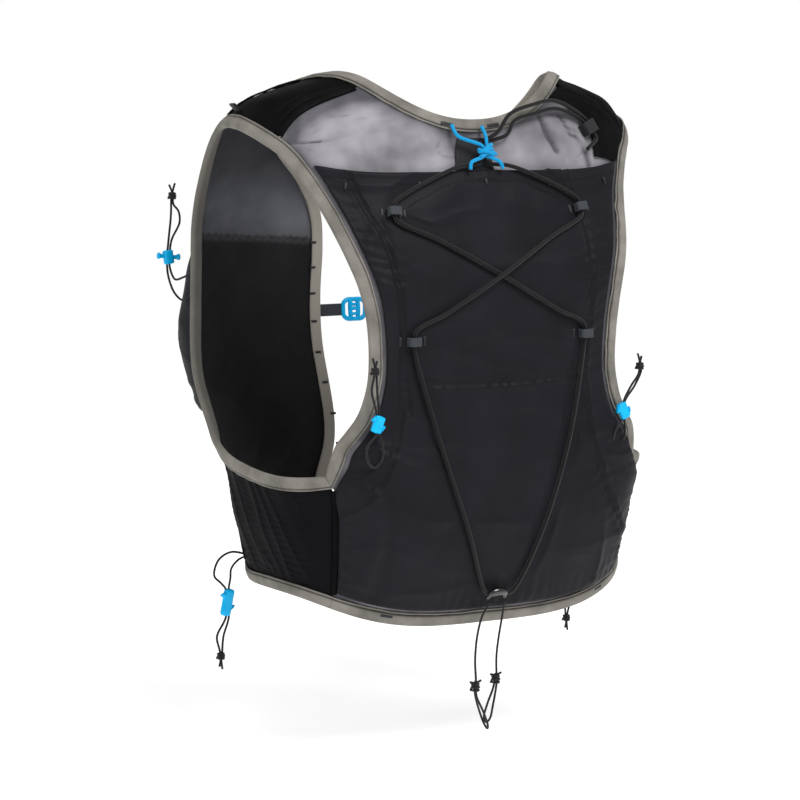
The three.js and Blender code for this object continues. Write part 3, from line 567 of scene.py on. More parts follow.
front_hem = straight(neck_edge[12], front_seam_hem, 5)
side_hem = straight(front_seam_hem, seam_hem, 6)
back_hem = straight(seam_hem, mirrored(seam_hem), back_cells)
hem = join(front_hem, side_hem, back_hem)
hem_inner = inset(hem, tape_width, -1)
back_hem_start = 11
seam_cells = 4
shoulder_seam = np.array([armhole[16], *straight(armhole_inner[16], neck_side_inner[0], 2), neck_side[0]])
front_seam = np.array([armhole[29], *straight(armhole_inner[29], hem_inner[5], seam_cells), front_seam_hem])
side_seam = np.array([seam_hem, *straight(hem_inner[11], armhole_inner[0], seam_cells), armhole[0]])


def clouds(u, v, seed):
    """Smooth random heights from -1 to 1 over two coordinates, the same on each run."""
    lattice = np.random.default_rng(seed).uniform(-1, 1, (61, 61))
    i, j = np.floor(u).astype(int), np.floor(v).astype(int)
    a, b = u - i, v - j
    a, b = a * a * (3 - 2 * a), b * b * (3 - 2 * b)
    pick = lambda m, n: lattice[m % 61, n % 61]
    return ((1 - a) * (1 - b) * pick(i, j) + a * (1 - b) * pick(i + 1, j)
            + (1 - a) * b * pick(i, j + 1) + a * b * pick(i + 1, j + 1))


def creases(u, v, seed):
    """Thin ridges with soft valleys between, as cloth shows when it is pressed together."""
    return (1 - np.abs(clouds(u, v, seed) + 0.35 * clouds(2.1 * u, 2.1 * v, seed + 1))) ** 3


def ramp(value, start, width):
    """A straight rise from 0 to 1 over a width."""
    return np.clip((value - start) / width, 0, 1)


def from_sides(across):
    return np.minimum(across - across[:, :1], across[:, -1:] - across)


def from_ends(up):
    return np.minimum(up, up[-1:] - up)


def beside(places, line):
    """How far points lie from a line of short straight parts, and how far along it."""
    line = np.asarray(line, float)
    best = np.full(places.shape[:-1], 1e9)
    along = np.zeros_like(best)
    travelled = 0.0
    for a, b in zip(line[:-1], line[1:]):
        length = np.linalg.norm(b - a)
        t = np.clip(((places - a) @ (b - a)) / length**2, 0, 1)
        distance = np.linalg.norm(places - (a + t[..., None] * (b - a)), axis=-1)
        along = np.where(distance < best, travelled + t * length, along)
        best = np.minimum(best, distance)
        travelled += length
    return best, along


def thicken(piece, thickness, offset):
    """A wall for a sheet, in millimetres: offset -1 puts it inside the sheet and 0 half on either side."""
    wall = piece.modifiers.new("wall", "SOLIDIFY")
    wall.thickness = thickness * MM
    wall.offset = offset


def cloth_piece(name, spots, lift, material, slot, node, marks=None,
                thickness=cloth_thickness):
    """One sheet of cloth over a grid of spots: its outer face, a wall of its thickness, its flat size."""
    points = at(spots, lift)
    middle = np.array(spots.shape[:2]) // 2
    here = points[middle[0], middle[1]]
    wayout = np.cross(points[middle[0], middle[1] + 1] - here, points[middle[0] + 1, middle[1]] - here)
    if np.dot(wayout, directions(spots[middle[0], middle[1]])[2]) < 0:
        spots, points = spots[:, ::-1], points[:, ::-1]
        marks = {key: value[:, ::-1] for key, value in (marks or {}).items()}
    shape = bmesh.new()
    add_grid(shape, points)
    layers = {key: shape.verts.layers.float.new(key) for key in (marks or {})}
    if layers:
        rows, columns = points.shape[:2]
        for k, v in enumerate(shape.verts):
            for key, layer in layers.items():
                v[layer] = float(marks[key][k // columns, k % columns])
    piece = settle(name, shape, material, slot, *([node] if node else []), closed=False)
    thicken(piece, thickness, -1)
    across, up = runs_of(points)
    return piece


# ---- Back pack: one sheet of thin stretch ripstop sewn over the back panel, closed at its sides and hem
# and open along its top. Curved seams join a middle panel to two side gussets, the cloth is gathered
# into the armhole tapes and the hem, and the laced elastic presses soft valleys into it.
pack_depth = 13
pack_fullness = table("share depth squareness", [
    [0.00, 0.00, 6], [0.05, 0.54, 6], [0.14, 1.00, 6], [0.28, 1.00, 5], [0.40, 0.62, 4], [0.50, 0.31, 3],
    [0.66, 0.23, 3], [0.78, 0.19, 3], [0.88, 0.27, 3]])
pack_margin = 1.5
pack_armhole = inset(armhole, tape_width + pack_margin, 1, True)
pack_hem = inset(hem, tape_width + pack_margin, -1)[back_hem_start:]
pack_side = np.array([pack_hem[0], *[spot + 0.01 * (mirrored(spot) - spot) for spot in side_seam[2:5]],
                      *pack_armhole[:15]])
pack_rows = np.array([straight(spot, mirrored(spot), back_cells) for spot in pack_side])
pack_rows[-1, :, 1] += 0.035 * np.sin(math.pi * np.arange(back_cells + 1) / back_cells) ** 2
pack_rows[0] = pack_hem
pack_rows[0, 0] += 0.01 * (mirrored(pack_hem[0]) - pack_hem[0])
pack_rows[0, -1] = mirrored(pack_rows[0, 0])


def pack_lift(spots):
    """How far the pack's inner face stands off the body form."""
    angle, share = spots[..., 0], spots[..., 1]
    order = np.argsort(pack_side[:, 1])
    edge_angle = np.interp(share, pack_side[order, 1], pack_side[order, 0])
    aside = np.minimum(np.abs(90 - angle) / (90 - edge_angle), 1)
    depth = pack_depth * along_table(pack_fullness, "depth", share)
    return cloth_thickness + gap + depth * (1 - aside ** along_table(pack_fullness, "squareness", share))


def on_pack(angle, share, over=0.0):
    spot = np.array([angle, share], float)
    return at(spot, pack_lift(spot) + cloth_thickness + over)


def place_on(spot, lift):
    """The origin and the directions round the body, up it and out of it, for a fitting set on it."""
    spot = np.array(spot, float)
    per_angle, _, out = directions(spot)
    across = per_angle / np.linalg.norm(per_angle)
    return at(spot, lift), across, np.cross(out, across), out


def set_on(points, spot, lift):
    """Points given in millimetres across, up and out of a spot of the body form."""
    origin, *ways = place_on(spot, lift)
    return origin + np.asarray(points, float) @ np.stack(ways)


def near(spot, lift, x, y):
    return set_on((x, y, 0), spot, lift)


# ---- Laced elastic: black round shock cord, 2.8 mm across. Each half comes from the keeper at the right
# shoulder, passes behind the blue knot, and laces down the pack through webbing guides to the hook.
elastic = 2.8
keeper, keeper_lift = (131.5, 0.905), cloth_thickness - 0.3
keeper_middle = keeper_lift + 2.6
tie_knot_spot = (90.3, 0.912)
under_knot = 2 * (cloth_thickness + gap) + elastic / 2
tie_knot_lift = under_knot + elastic / 2 + gap + 4
over_pack = gap + elastic / 2 + 0.3
lacing = [
    [77.5, 0.852, 0], [68, 0.80, 0], [65.2, 0.777, 0], [65.2, 0.76, 0], [65.6, 0.744, 0], [75.5, 0.70, 0],
    [90, 0.63, 0], [104.5, 0.565, 0], [111.4, 0.538, 0], [112, 0.52, 0], [111.8, 0.50, 0], [108.4, 0.34, 0],
    [102, 0.18, 0], [96, 0.075, 0], [93.8, 0.058, 0.65], [90.8, 0.058, 0.65]]
yoke_routes = {
    "left": [
        at((125.5, 0.872), 4.4), near(keeper, keeper_middle, 2, -9), near(keeper, keeper_middle, 1.8, -3),
        near(keeper, keeper_middle, 1.8, 6), at((130.5, 0.974), 9), at((120, 0.995), 10.5),
        at((106, 0.998), 11.2), at((97, 0.962), 9.2), near(tie_knot_spot, under_knot, 0.4, 6),
        near(tie_knot_spot, under_knot, -1.6, -6), at((82.7, 0.874), 7.6)],
    "right": [
        near(keeper, keeper_middle, -1.8, -3), near(keeper, keeper_middle, -1.8, 6), at((128.5, 0.962), 6.5),
        at((119, 0.978), 7), at((108, 0.982), 7), at((101.5, 0.955), 6.5),
        near(tie_knot_spot, under_knot, 5, 6), near(tie_knot_spot, under_knot, 3.1, -6),
        at((97.3, 0.874), 7.6)],
}
shock_braid = braid("shock_cord", paint("08080a"), paint("1d1c21"), elastic * MM, 0.15)
elastic_lines = {}
for side in ("left", "right"):
    over_other = elastic + gap if side == "right" else 0
    laced = [on_pack(angle if side == "left" else 180 - angle, share,
                     over_pack + over + (over_other if share == 0.63 else 0)) for angle, share, over in lacing]
    elastic_lines[side] = evenly(np.array(yoke_routes[side] + laced), 1.2)
    shape = bmesh.new()
    add_tube(shape, elastic_lines[side], elastic / 2, 12)
    settle(f"shock_cord_{side}", shape, shock_braid, "black_cord", f"bungee_{side}")


def tint(tree, base, light, size=26.0):
    """Slow changes of shade over a cloth, from two colours and its own place."""
    body = put(tree, "ShaderNodeTexCoord").outputs["Object"]
    slow = put(tree, "ShaderNodeTexNoise", {"Vector": body, "Scale": size, "Detail": 3.0, "Roughness": 0.55})
    spread = put(tree, "ShaderNodeMapRange", {0: slow.outputs[0], 1: 0.3, 2: 0.7})
    return blend_colours(tree, spread.outputs[0], base, light)


def cloth_uv(tree):
    parts = put(tree, "ShaderNodeSeparateXYZ", {0: put(tree, "ShaderNodeUVMap", uv_map="UVMap").outputs[0]})
    return parts.outputs[0], parts.outputs[1]


def waves(tree, value, pitch):
    """Rows across a cloth, from 0 in the grooves to 1 on the threads, a pitch apart in metres."""
    turn = math_of(tree, "MULTIPLY", value, 2 * math.pi / pitch)
    return math_of(tree, "MULTIPLY_ADD", math_of(tree, "SINE", turn), 0.5, 0.5)


def mark(tree, name):
    return put(tree, "ShaderNodeAttribute", attribute_name=name).outputs["Fac"]


def pack_cloth_finish():
    """Near-black stretch ripstop: fine level ribs with a faint upright grid, and dull stitches by its seams."""
    material, tree, shader = surface("pack_ripstop", 0.55, 0.1, Sheen_Weight=0.02, Sheen_Roughness=0.4)
    u, v = cloth_uv(tree)
    ribs = waves(tree, v, 0.0011)
    warp = waves(tree, u, 0.0009)
    weave = math_of(tree, "MULTIPLY_ADD", warp, 0.35, ribs)
    fuzz = object_noise(tree, 900.0)
    colour = tint(tree, paint("0f0e12"), paint("17161b"))
    colour = blend_colours(tree, math_of(tree, "MULTIPLY", ribs, 0.22), colour, paint("26242a"))
    stitch = math_of(tree, "MULTIPLY", mark(tree, "stitch"), waves(tree, mark(tree, "seam_run"), 2.4))
    colour = blend_colours(tree, stitch, colour, paint("0a0a0c"))
    tree.links.new(math_of(tree, "MULTIPLY_ADD", fuzz, 0.2, 0.46), shader.inputs["Roughness"])
    height = math_of(tree, "SUBTRACT", math_of(tree, "MULTIPLY_ADD", fuzz, 0.5, weave), stitch)
    dress(tree, shader, colour, height, 0.35, 0.00018)
    return material


# Seams and folds of the pack, as width and height on the back in millimetres
pack_seams = {
    "left": [(102, -68), (92, -96), (83, -122), (77, -160), (74, -208), (73, -228)],
    "right": [(-66, -63), (-71, -88), (-79, -110), (-77, -146), (-72, -186), (-69, -208)],
    "level": [(74, -209), (30, -211), (-20, -211), (-69, -208)],
    "left_gusset": [(76, -190), (79, -236), (96, -278), (134, -310)],
    "right_gusset": [(-69, -208), (-72, -250), (-84, -290), (-104, -322)],
}
pack_folds = [
    ([(90, -278), (88, -310), (92, -345), (90, -372)], -1.6, 5.0),
    ([(97, -282), (95, -315), (99, -350)], 1.5, 6.0),
    ([(110, -316), (124, -330), (128, -345)], -1.3, 4.0),
    ([(60, -250), (66, -290), (60, -330)], 0.8, 11.0),
    ([(-40, -230), (-66, -260), (-88, -282)], 0.9, 9.0),
    ([(-60, -240), (-88, -268), (-112, -285)], -0.9, 6.0),
    ([(86, -100), (98, -118), (112, -130)], 0.9, 5.0),
    ([(82, -135), (96, -150), (108, -160)], 0.8, 5.0),
    ([(-80, -100), (-94, -112), (-104, -118)], 0.9, 5.0),
    ([(20, -80), (50, -92), (78, -84)], 0.9, 8.0),
    ([(-10, -84), (-36, -94), (-60, -82)], 0.9, 8.0),
    ([(30, -230), (5, -300), (10, -350)], 0.7, 14.0),
    ([(-20, -300), (-60, -330), (-90, -345)], 0.8, 9.0),
    ([(40, -345), (0, -352), (-40, -350)], -0.7, 8.0),
]
pack_spots = finer(pack_rows, 12, 16)
pack_flat = at(pack_spots, pack_lift(pack_spots) + cloth_thickness)
pack_across, pack_up = runs_of(pack_flat)
from_side = from_sides(pack_across)
from_foot, from_top = pack_up, pack_up[-1:] - pack_up
pack_plane = pack_flat[..., [0, 2]]
seam_distance = np.full(pack_plane.shape[:2], 1e9)
seam_run = np.zeros_like(seam_distance)
for line in pack_seams.values():
    distance, along = beside(pack_plane, curve_through(line, np.linspace(0, len(line) - 1, 24)))
    seam_run = np.where(distance < seam_distance, along, seam_run)
    seam_distance = np.minimum(seam_distance, distance)
relief = 1.2 * clouds(pack_across / 46, pack_up / 60, 3) + 0.45 * clouds(pack_across / 17, pack_up / 23, 5)
relief -= 1.3 * ridge(seam_distance, 0, 1.5) - 0.6 * ridge(seam_distance, 3.4, 1.6)
pucker = np.sin(2 * math.pi * (seam_run / 8.5 + 0.35 * clouds(seam_run / 11, pack_across / 9, 7)))
relief += 0.8 * pucker * np.exp(-seam_distance / 7.5) * (0.5 + 0.5 * clouds(seam_run / 25, seam_run / 31, 8))
side_phase = pack_up / 9.5 + 0.5 * clouds(pack_up / 13, from_side / 20, 11)
relief += 1.15 * np.sin(2 * math.pi * side_phase) * np.exp(-from_side / 13) * (0.65 + 0.5 * clouds(
    pack_up / 34, from_side / 60, 12))
foot_phase = pack_across / 8.5 + 0.5 * clouds(pack_across / 14, from_foot / 16, 13)
relief += 0.7 * np.sin(2 * math.pi * foot_phase) * np.exp(-from_foot / 12) * (0.6 + 0.5 * clouds(
    pack_across / 30, from_foot / 40, 14))
relief += 1.5 * creases(pack_across / 60 + pack_up / 90, pack_up / 26, 21) - 0.45
low_side = ramp(-pack_flat[..., 2], 250, 60)
relief += low_side * 1.3 * (creases(pack_across / 24, pack_up / 70, 23) - 0.3)
for line, height, width in pack_folds:
    distance, along = beside(pack_plane, curve_through(line, np.linspace(0, len(line) - 1, 16)))
    fade = np.clip(np.minimum(along, along.max() - along) / 12 + 0.25, 0, 1)
    relief += 1.4 * height * fade * ridge(distance, 0, width)
right_flank = ramp(-pack_flat[..., 0], 118, 10) * ramp(-pack_flat[..., 2], 200, 40)
flank_phase = pack_up / 11 + 0.3 * clouds(pack_up / 20, 0 * pack_up, 31)
relief += right_flank * 1.6 * (np.abs(np.sin(math.pi * flank_phase)) - 0.4)
hem_roll = 1.0 * ridge(from_top, 2.2, 1.7) - 0.5 * ridge(from_top, 8.5, 1.1)
relief += hem_roll + 0.5 * np.exp(-from_top / 14) * clouds(pack_across / 22, from_top / 30, 17)
for line in elastic_lines.values():
    laced = line[line[:, 2] < -60]
    nearest = np.full(pack_flat.shape[:2], 1e9)
    for start in range(0, len(laced), 4):
        nearest = np.minimum(nearest, np.linalg.norm(pack_flat - laced[start], axis=2))
    relief = np.where(nearest < 9, np.minimum(relief, 0.5 - ridge(nearest, over_pack, 5)), relief)
at_rim = ramp(np.minimum(from_side, from_foot), 0, 5)
relief = np.clip(relief, -2.2, 3.2) * at_rim
relief = np.maximum(relief, cloth_thickness + 0.3 - pack_lift(pack_spots))
fuller_flank = 9
relief += fuller_flank * at_rim * ridge(pack_flat[..., 0], -122, 30) * ridge(pack_flat[..., 2], -275, 50)
stitch = ridge(seam_distance, 2.6, 0.7) + ridge(from_top, 8.5, 0.6)
seam_run = np.where(from_top < 12, pack_across, seam_run)
pack_ripstop = pack_cloth_finish()
cloth_piece("pack_sheet", pack_spots, pack_lift(pack_spots) + cloth_thickness + relief, pack_ripstop, "pack_cloth",
            "pack_body",
            marks={"stitch": np.clip(stitch, 0, 1), "seam_run": seam_run})

# ---- Back panel: soft grey mesh from the hem to the neck, against the wearer's back. Above the pack it
# shows as the yoke, where it is left loose and lies in cloudy folds between the two shoulder tapes.
first_column = 0.081


def mesh_finish():
    """Knitted mesh: small round holes in offset rows, slow random changes of tone, and painted shade from its shade
    mark by the tapes, towards the right and in its creases.
    """
    material, tree, shader = surface("yoke_knit", 0.75, 0.12, Sheen_Weight=0.1, Sheen_Roughness=0.5)
    u, v = cloth_uv(tree)
    holes = math_of(tree, "MULTIPLY", waves(tree, u, 0.0017), waves(tree, v, 0.0017))
    other = math_of(tree, "MULTIPLY", waves(tree, math_of(tree, "ADD", u, 0.00085), 0.0017),
                    waves(tree, math_of(tree, "ADD", v, 0.00085), 0.0017))
    knit = math_of(tree, "MAXIMUM", holes, other)
    colour = tint(tree, paint("69666c"), paint("9f9ca2"), 24.0)
    # Painted shade: the shade mark darkens the mesh by the tapes, near the middle, towards the right and in its
    # creases.
    colour = blend_colours(tree, mark(tree, "shade"), colour, paint("3a393e"))
    colour = blend_colours(tree, math_of(tree, "MULTIPLY", math_of(tree, "POWER", knit, 2.0), 0.35),
                           colour, paint("4a484e"))
    height = math_of(tree, "SUBTRACT", 1.0, knit)
    dress(tree, shader, colour, height, 0.4, 0.0003)
    return material


back_edge = join(side_seam, armhole_back, shoulder_seam)


def seam_inner(line):
    return [spot + first_column * (mirrored(spot) - spot) for spot in line]


back_inner = np.array([
    *seam_inner(side_seam[:-1]), (armhole_inner[0] + armhole_inner[1]) / 2, *armhole_inner[1:16],
    (armhole_inner[15] + armhole_inner[16]) / 2, *seam_inner(shoulder_seam[1:])])
back_rows = grid_between(back_edge, back_inner, mirrored(back_inner), mirrored(back_edge), back_cells - 2)
back_rows[0] = back_hem
back_rows[1] = hem_inner[back_hem_start:]
back_rows[-2] = neck_back_inner
rise = np.linspace(0, 1, 7)[:, None, None]
back_rows[19:26, 2:-2] = (1 - rise) * back_rows[19, 2:-2] + rise * back_rows[25, 2:-2]
back_spots = finer(back_rows, 7, 11, even=True)
back_flat = at(back_spots, cloth_thickness)
back_across, back_up = runs_of(back_flat)
pack_top = np.interp(back_spots[..., 0], pack_rows[-1, :, 0], pack_rows[-1, :, 1])
back_side = from_sides(back_across)
neck_distance = back_up[-1:] - back_up
loose = ramp(back_spots[..., 1] - pack_top, 0.006, 0.03) * ramp(back_side, 9, 14) * ramp(neck_distance, 9, 12)
folds = 1.6 * clouds(back_across / 26 + back_up / 60, back_up / 30, 41)
ridges = creases(back_across / 42 - back_up / 50, back_up / 34, 43)
folds += 2.4 * (ridges - 0.35)
yoke_creases = [
    ([(-55, -27), (-60, -40), (-67, -55)], -2.2, 2.4), ([(-86, -45), (-92, -54), (-95, -66)], -2.0, 2.0),
    ([(-76, -30), (-82, -44)], -1.2, 2.0), ([(100, -50), (84, -58), (70, -64)], 2.2, 5.0)]
for line, height, width in yoke_creases:
    distance, along = beside(back_flat[..., [0, 2]], line)
    folds += height * ridge(distance, 0, width)
# Painted shade for the yoke: darker by the side tapes and the neck tape, along a band near the middle, towards the
# right side and in slow random patches.
shade = 0.75 * np.exp(-np.maximum(back_side - 9, 0) / 9) + 0.5 * np.exp(-np.maximum(neck_distance - 9, 0) / 5)
shade += 0.55 * ridge(back_flat[..., 0], 12, 15) + 0.3 * ramp(-back_flat[..., 0], 20, 30)
shade += 0.3 * np.clip(clouds(back_across / 22, back_up / 16, 45), 0, 1)
# Painted shade along thin lines beside the fold ridges of the loose yoke.
outline = creases(back_across / 50 + 3, back_up / 44 + 2, 47)
shade += 0.3 * ridge(outline, 0.5, 0.035) * loose
# Painted shade in the three creases on the right of the yoke.
for line, _, width in yoke_creases[:3]:
    shade += 0.9 * ridge(beside(back_flat[..., [0, 2]], line)[0], 0, 0.7 * width)
cloth_piece("yoke_and_back_mesh", back_spots, cloth_thickness + np.clip(folds, -1.2, 3) * loose, mesh_finish(),
            "yoke_mesh", "back_panel",
            marks={"shade": np.clip(shade, 0, 0.9)}, thickness=0.9)

# ---- Shoulder straps: a stiffer glossy black woven patch over each shoulder, from the yoke's seam to the
# top of the front, with its seam allowance folded back in a narrow shiny roll.
strap_rows = grid_between(
    shortened(armhole_shoulder), shortened(armhole_inner[16:20]), shortened(neck_side_inner[:4]),
    shortened(neck_shoulder), 2)


def coated_finish():
    """Black coated cloth with a fine square weave and a soft, uneven shine."""
    material, tree, shader = surface("coated_black_cloth", 0.55, 0.04)
    u, v = cloth_uv(tree)
    weave = math_of(tree, "ADD", waves(tree, u, 0.0012), waves(tree, v, 0.0012))
    smudge = object_noise(tree, 70.0)
    tree.links.new(math_of(tree, "MULTIPLY_ADD", smudge, 0.3, 0.42), shader.inputs["Roughness"])
    dress(tree, shader, tint(tree, paint("050506"), paint("0b0b0d"), 60.0), weave)
    return material


coated_black = coated_finish()
strap_spots = finer(strap_rows, 20, 14)
strap_across, strap_up = runs_of(at(strap_spots))
strap_relief = 0.7 * clouds(strap_across / 14, strap_up / 30, 51) + 1.4 * ridge(strap_up, 5, 2.2)
strap_relief -= 0.8 * ridge(strap_up, 10, 1.2)
inside_strap = ramp(from_sides(strap_across), 9.5, 4) * ramp(from_ends(strap_up), 0, 3)
for side in ("left", "right"):
    spots = on_side(strap_spots, side)
    cloth_piece(f"shoulder_patch_{side}", spots, cloth_thickness + np.clip(strap_relief, -0.5, 2) * inside_strap,
                coated_black, "black_patch", f"shoulder_strap_{side}")

# The right patch reaches farther over the yoke, down to a curved edge beside the armhole tape
patch_edge = np.array([[127.3, 0.854], [132, 0.904], [134, 0.937], [135.5, 0.962], [134.7, 0.984]])
patch_side = mirrored(np.array([armhole_inner[14], armhole_inner[15], armhole_inner[16], shoulder_seam[2],
                                neck_side_inner[0]]))
patch_spots = finer(np.array([straight(a, b, 4) for a, b in zip(patch_edge, patch_side)]), 12, 8)
patch_across, patch_up = runs_of(at(patch_spots))
patch_roll = 0.9 * ridge(patch_across - patch_across[:, :1], 2, 1.6)
cloth_piece("yoke_patch_right", patch_spots, 2 * cloth_thickness + 0.5 + patch_roll + 0.4 * clouds(
    patch_across / 10, patch_up / 14, 55), coated_black, "black_patch", None, thickness=0.8)

# ---- Front panels: dark mesh with a grey sheen at the top and a denser black stretch cloth below, where
# Front panels: dark mesh at the top, whose pale grey sheen is painted into its colour, brightest at mid height and
# darker towards the top, and a denser black stretch cloth below, where the bottle pocket's back is sewn in along a
# pinked and stitched edge.
front_seam_inner = [spot + 0.16 * (neck_side_inner[len(neck_side_inner) - len(front_seam) + 1 + j] - spot)
                    for j, spot in enumerate(front_seam[1:])]
front_outer_inner = np.array([*armhole_inner[front_start:side_start],
                              (armhole_inner[28] + armhole_inner[29]) / 2, *front_seam_inner])
front_rows = grid_between(join(armhole_front, front_seam), front_outer_inner, neck_side_inner[3:],
                          join(neck_front, lower_front_edge), 3)
front_rows[-1] = front_hem[::-1]


def front_finish():
    """Olive-black warp knit with slanting rows of pin dots and a painted grey sheen above the sewn edge, brightest at
    mid height, plain and darker below.
    """
    material, tree, shader = surface("front_knit", 0.7, 0.1, Sheen_Weight=0.06, Sheen_Roughness=0.45)
    u, v = cloth_uv(tree)
    slant = waves(tree, math_of(tree, "ADD", u, v), 0.0026)
    other = waves(tree, math_of(tree, "SUBTRACT", u, v), 0.0026)
    dots = math_of(tree, "MULTIPLY", slant, other)
    upper = mark(tree, "upper")
    # Painted sheen: this pale grey of the upper mesh stands in for its sheen.
    light = tint(tree, paint("44454a"), paint("66676d"), 20.0)
    dark = tint(tree, paint("131315"), paint("1c1c1e"), 24.0)
    sunk = math_of(tree, "MULTIPLY", math_of(tree, "POWER", dots, 2.0), 0.6)
    light = blend_colours(tree, sunk, light, paint("222326"))
    colour = blend_colours(tree, upper, dark, light)
    edge = math_of(tree, "MULTIPLY", mark(tree, "sewn_edge"), waves(tree, u, 0.0032))
    colour = blend_colours(tree, edge, colour, paint("4a4a4c"))
    fine = math_of(tree, "ADD", dots, math_of(tree, "MULTIPLY", waves(tree, v, 0.0012), 0.4))
    dress(tree, shader, colour, fine, 0.35, 0.00025)
    return material


front_knit = front_finish()
front_spots = finer(front_rows, 9, 14)
front_flat = at(front_spots, cloth_thickness)
front_across, front_up = runs_of(front_flat)
height = front_flat[..., 2]
pinked = -118 + 1.2 * (np.abs((front_across / 3.2) % 2 - 1) - 0.5) - 4 * (front_across / 60)
# Painted light: the upper mark holds the painted grey sheen above the pinked edge, brightest at mid height and darker
# towards the top.
front_marks = {"upper": ramp(height, pinked, 1.5) * (0.2 + 0.8 * ridge(height, -100, 26)),
               "sewn_edge": ridge(height - pinked, -2, 1.6)}
front_relief = 0.8 * clouds(front_across / 24, front_up / 34, 61) + 0.9 * (creases(
    front_across / 40 + front_up / 80, front_up / 22, 63) - 0.3)
front_relief += 0.5 * ridge(height - pinked, -2.5, 2)
front_inside = ramp(from_sides(front_across), 10, 9) * ramp(from_ends(front_up), 9, 9)
for side in ("left", "right"):
    spots = on_side(front_spots, side)
    cloth_piece(f"front_knit_{side}", spots, cloth_thickness + np.clip(front_relief, -0.7, 1) * front_inside,
                front_knit, "dark_cloth", f"front_panel_{side}",
                marks=front_marks)

# ---- Side panels: shiny black stretch cloth under each arm, gathered on elastic into close level folds
# that run out from the side seam.
side_rows = grid_between(shortened(side_hem), shortened(hem_inner[5:12]), shortened(armhole_inner[side_start:]),
                         shortened(armhole_side), seam_cells)


def side_finish():
    """Thin shiny stretch cloth, its level threads close together."""
    material, tree, shader = surface("side_stretch", 0.62, 0.04)
    u, v = cloth_uv(tree)
    threads = waves(tree, v, 0.0011)
    colour = blend_colours(tree, math_of(tree, "MULTIPLY", threads, 0.4), tint(tree, paint("08070a"), paint("0d0c0f")),
                           paint("151417"))
    dress(tree, shader, colour, threads, 0.3, 0.0002)
    return material


side_stretch = side_finish()
side_spots = finer(side_rows, 16, 20)
side_flat = at(side_spots, cloth_thickness)
side_across, side_up = runs_of(side_flat)
from_seam = side_across[:, -1:] - side_across if side_spots[0, 0, 0] < side_spots[0, -1, 0] else (
    side_across - side_across[:, :1])
side_ends = from_sides(side_across)
level = side_flat[..., 2] / 4.6 + 0.7 * clouds(side_across / 30, side_up / 12, 71)
ruching = np.sin(2 * math.pi * level) * (0.35 + 0.75 * np.exp(-from_seam / 26)) * (0.75 + 0.4 * clouds(
    side_across / 20, side_up / 9, 72))
coarse = 1.1 * (creases(side_across / 60, side_up / 12, 73) - 0.3)
swelling = 2.2 * np.sin(math.pi * np.clip(side_ends / side_ends.max(), 0, 1) / 2) ** 2
side_relief = 0.34 * ruching + coarse + 0.6 * clouds(side_across / 35, side_up / 20, 74)
side_inside = ramp(side_ends, 0, 3) * ramp(from_ends(side_up), 8, 7)
for side in ("left", "right"):
    spots = on_side(side_spots, side)
    cloth_piece(f"gathered_side_{side}", spots,
                cloth_thickness + swelling * side_inside + np.clip(side_relief, -1, 1.8) * side_inside, side_stretch,
                "dark_cloth", f"side_panel_{side}")

# ---- Chest pockets: standing bottle pockets of the same stretch cloth, open at the top, with a turned
# and stitched mouth and soft creases where they bag out.
pocket_fullness = table("rise depth", [
    [0.00, 0.00], [0.12, 0.55], [0.28, 0.72], [0.45, 0.98], [0.55, 1.00], [0.75, 0.74], [1.00, 0.34]])
pocket_outer = inset(run(armhole_edge, 12.5, 16.6, 8), tape_width + 2, 1)
pocket_inner = inset(run(neck_edge, 5.7, 8.8, 8), tape_width + 3, -1)
pocket_rows = np.array([straight(a, b, 6) for a, b in zip(pocket_outer, pocket_inner)])
pocket_spots = finer(pocket_rows, 14, 16)
pocket_depth, pocket_squareness = 46, 3.6
pocket_rise = np.linspace(1, 0, pocket_spots.shape[0])[:, None]
pocket_turn = np.linspace(-1, 1, pocket_spots.shape[1])[None, :]
pocket_lift = cloth_thickness + 1.3 * gap + pocket_depth * along_table(
    pocket_fullness, "depth", pocket_rise, "rise") * (1 - np.abs(pocket_turn) ** pocket_squareness)
pocket_across, pocket_up = runs_of(at(pocket_spots, pocket_lift + cloth_thickness))
pocket_relief = clouds(pocket_across / 24, pocket_up / 26, 81) + 0.9 * ridge(pocket_up, 2.4, 1.8)
pocket_relief += 1.3 * (creases(pocket_across / 36 + pocket_up / 60, pocket_up / 20, 83) - 0.35)
pocket_relief -= 0.5 * ridge(pocket_up, 9, 1.2)
pocket_inside = ramp(from_sides(pocket_across), 0, 5) * ramp(pocket_up[-1:] - pocket_up, 0, 6)
pocket_marks = {"stitch": ridge(pocket_up, 9, 0.6), "seam_run": pocket_across}
for side in ("left", "right"):
    spots = on_side(pocket_spots, side)
    cloth_piece(f"chest_pocket_sheet_{side}", spots,
                pocket_lift + cloth_thickness + np.clip(pocket_relief, -1, 2) * pocket_inside, pack_ripstop,
                "dark_cloth", f"chest_pocket_{side}",
                marks=pocket_marks)

# ---- Seam folds: where two cloths meet, their edges are turned, laid flat and covered by a narrow folded
# strip of the same black cloth, stitched down along both of its sides.


def seam_fold(name, line, width, lift, times=8):
    """A narrow folded strip centred on a seam line, a little crumpled by its stitches."""
    line = closer(line, times)
    shares = np.linspace(-0.5, 0.5, 9)
    spots = np.stack([inset(line, share * width, 1) for share in shares], axis=1)
    along = np.concatenate([[0], np.cumsum(np.linalg.norm(np.diff(skin(line), axis=0), axis=1))])[:, None]
    crown = lift + cloth_thickness * (1 - (2 * shares) ** 4)[None, :] + 0.35 * clouds(
        along / 5, 0 * along + shares * 2, 121)
    cloth_piece(name, spots, crown, coated_black, "dark_cloth", None, thickness=0.8)


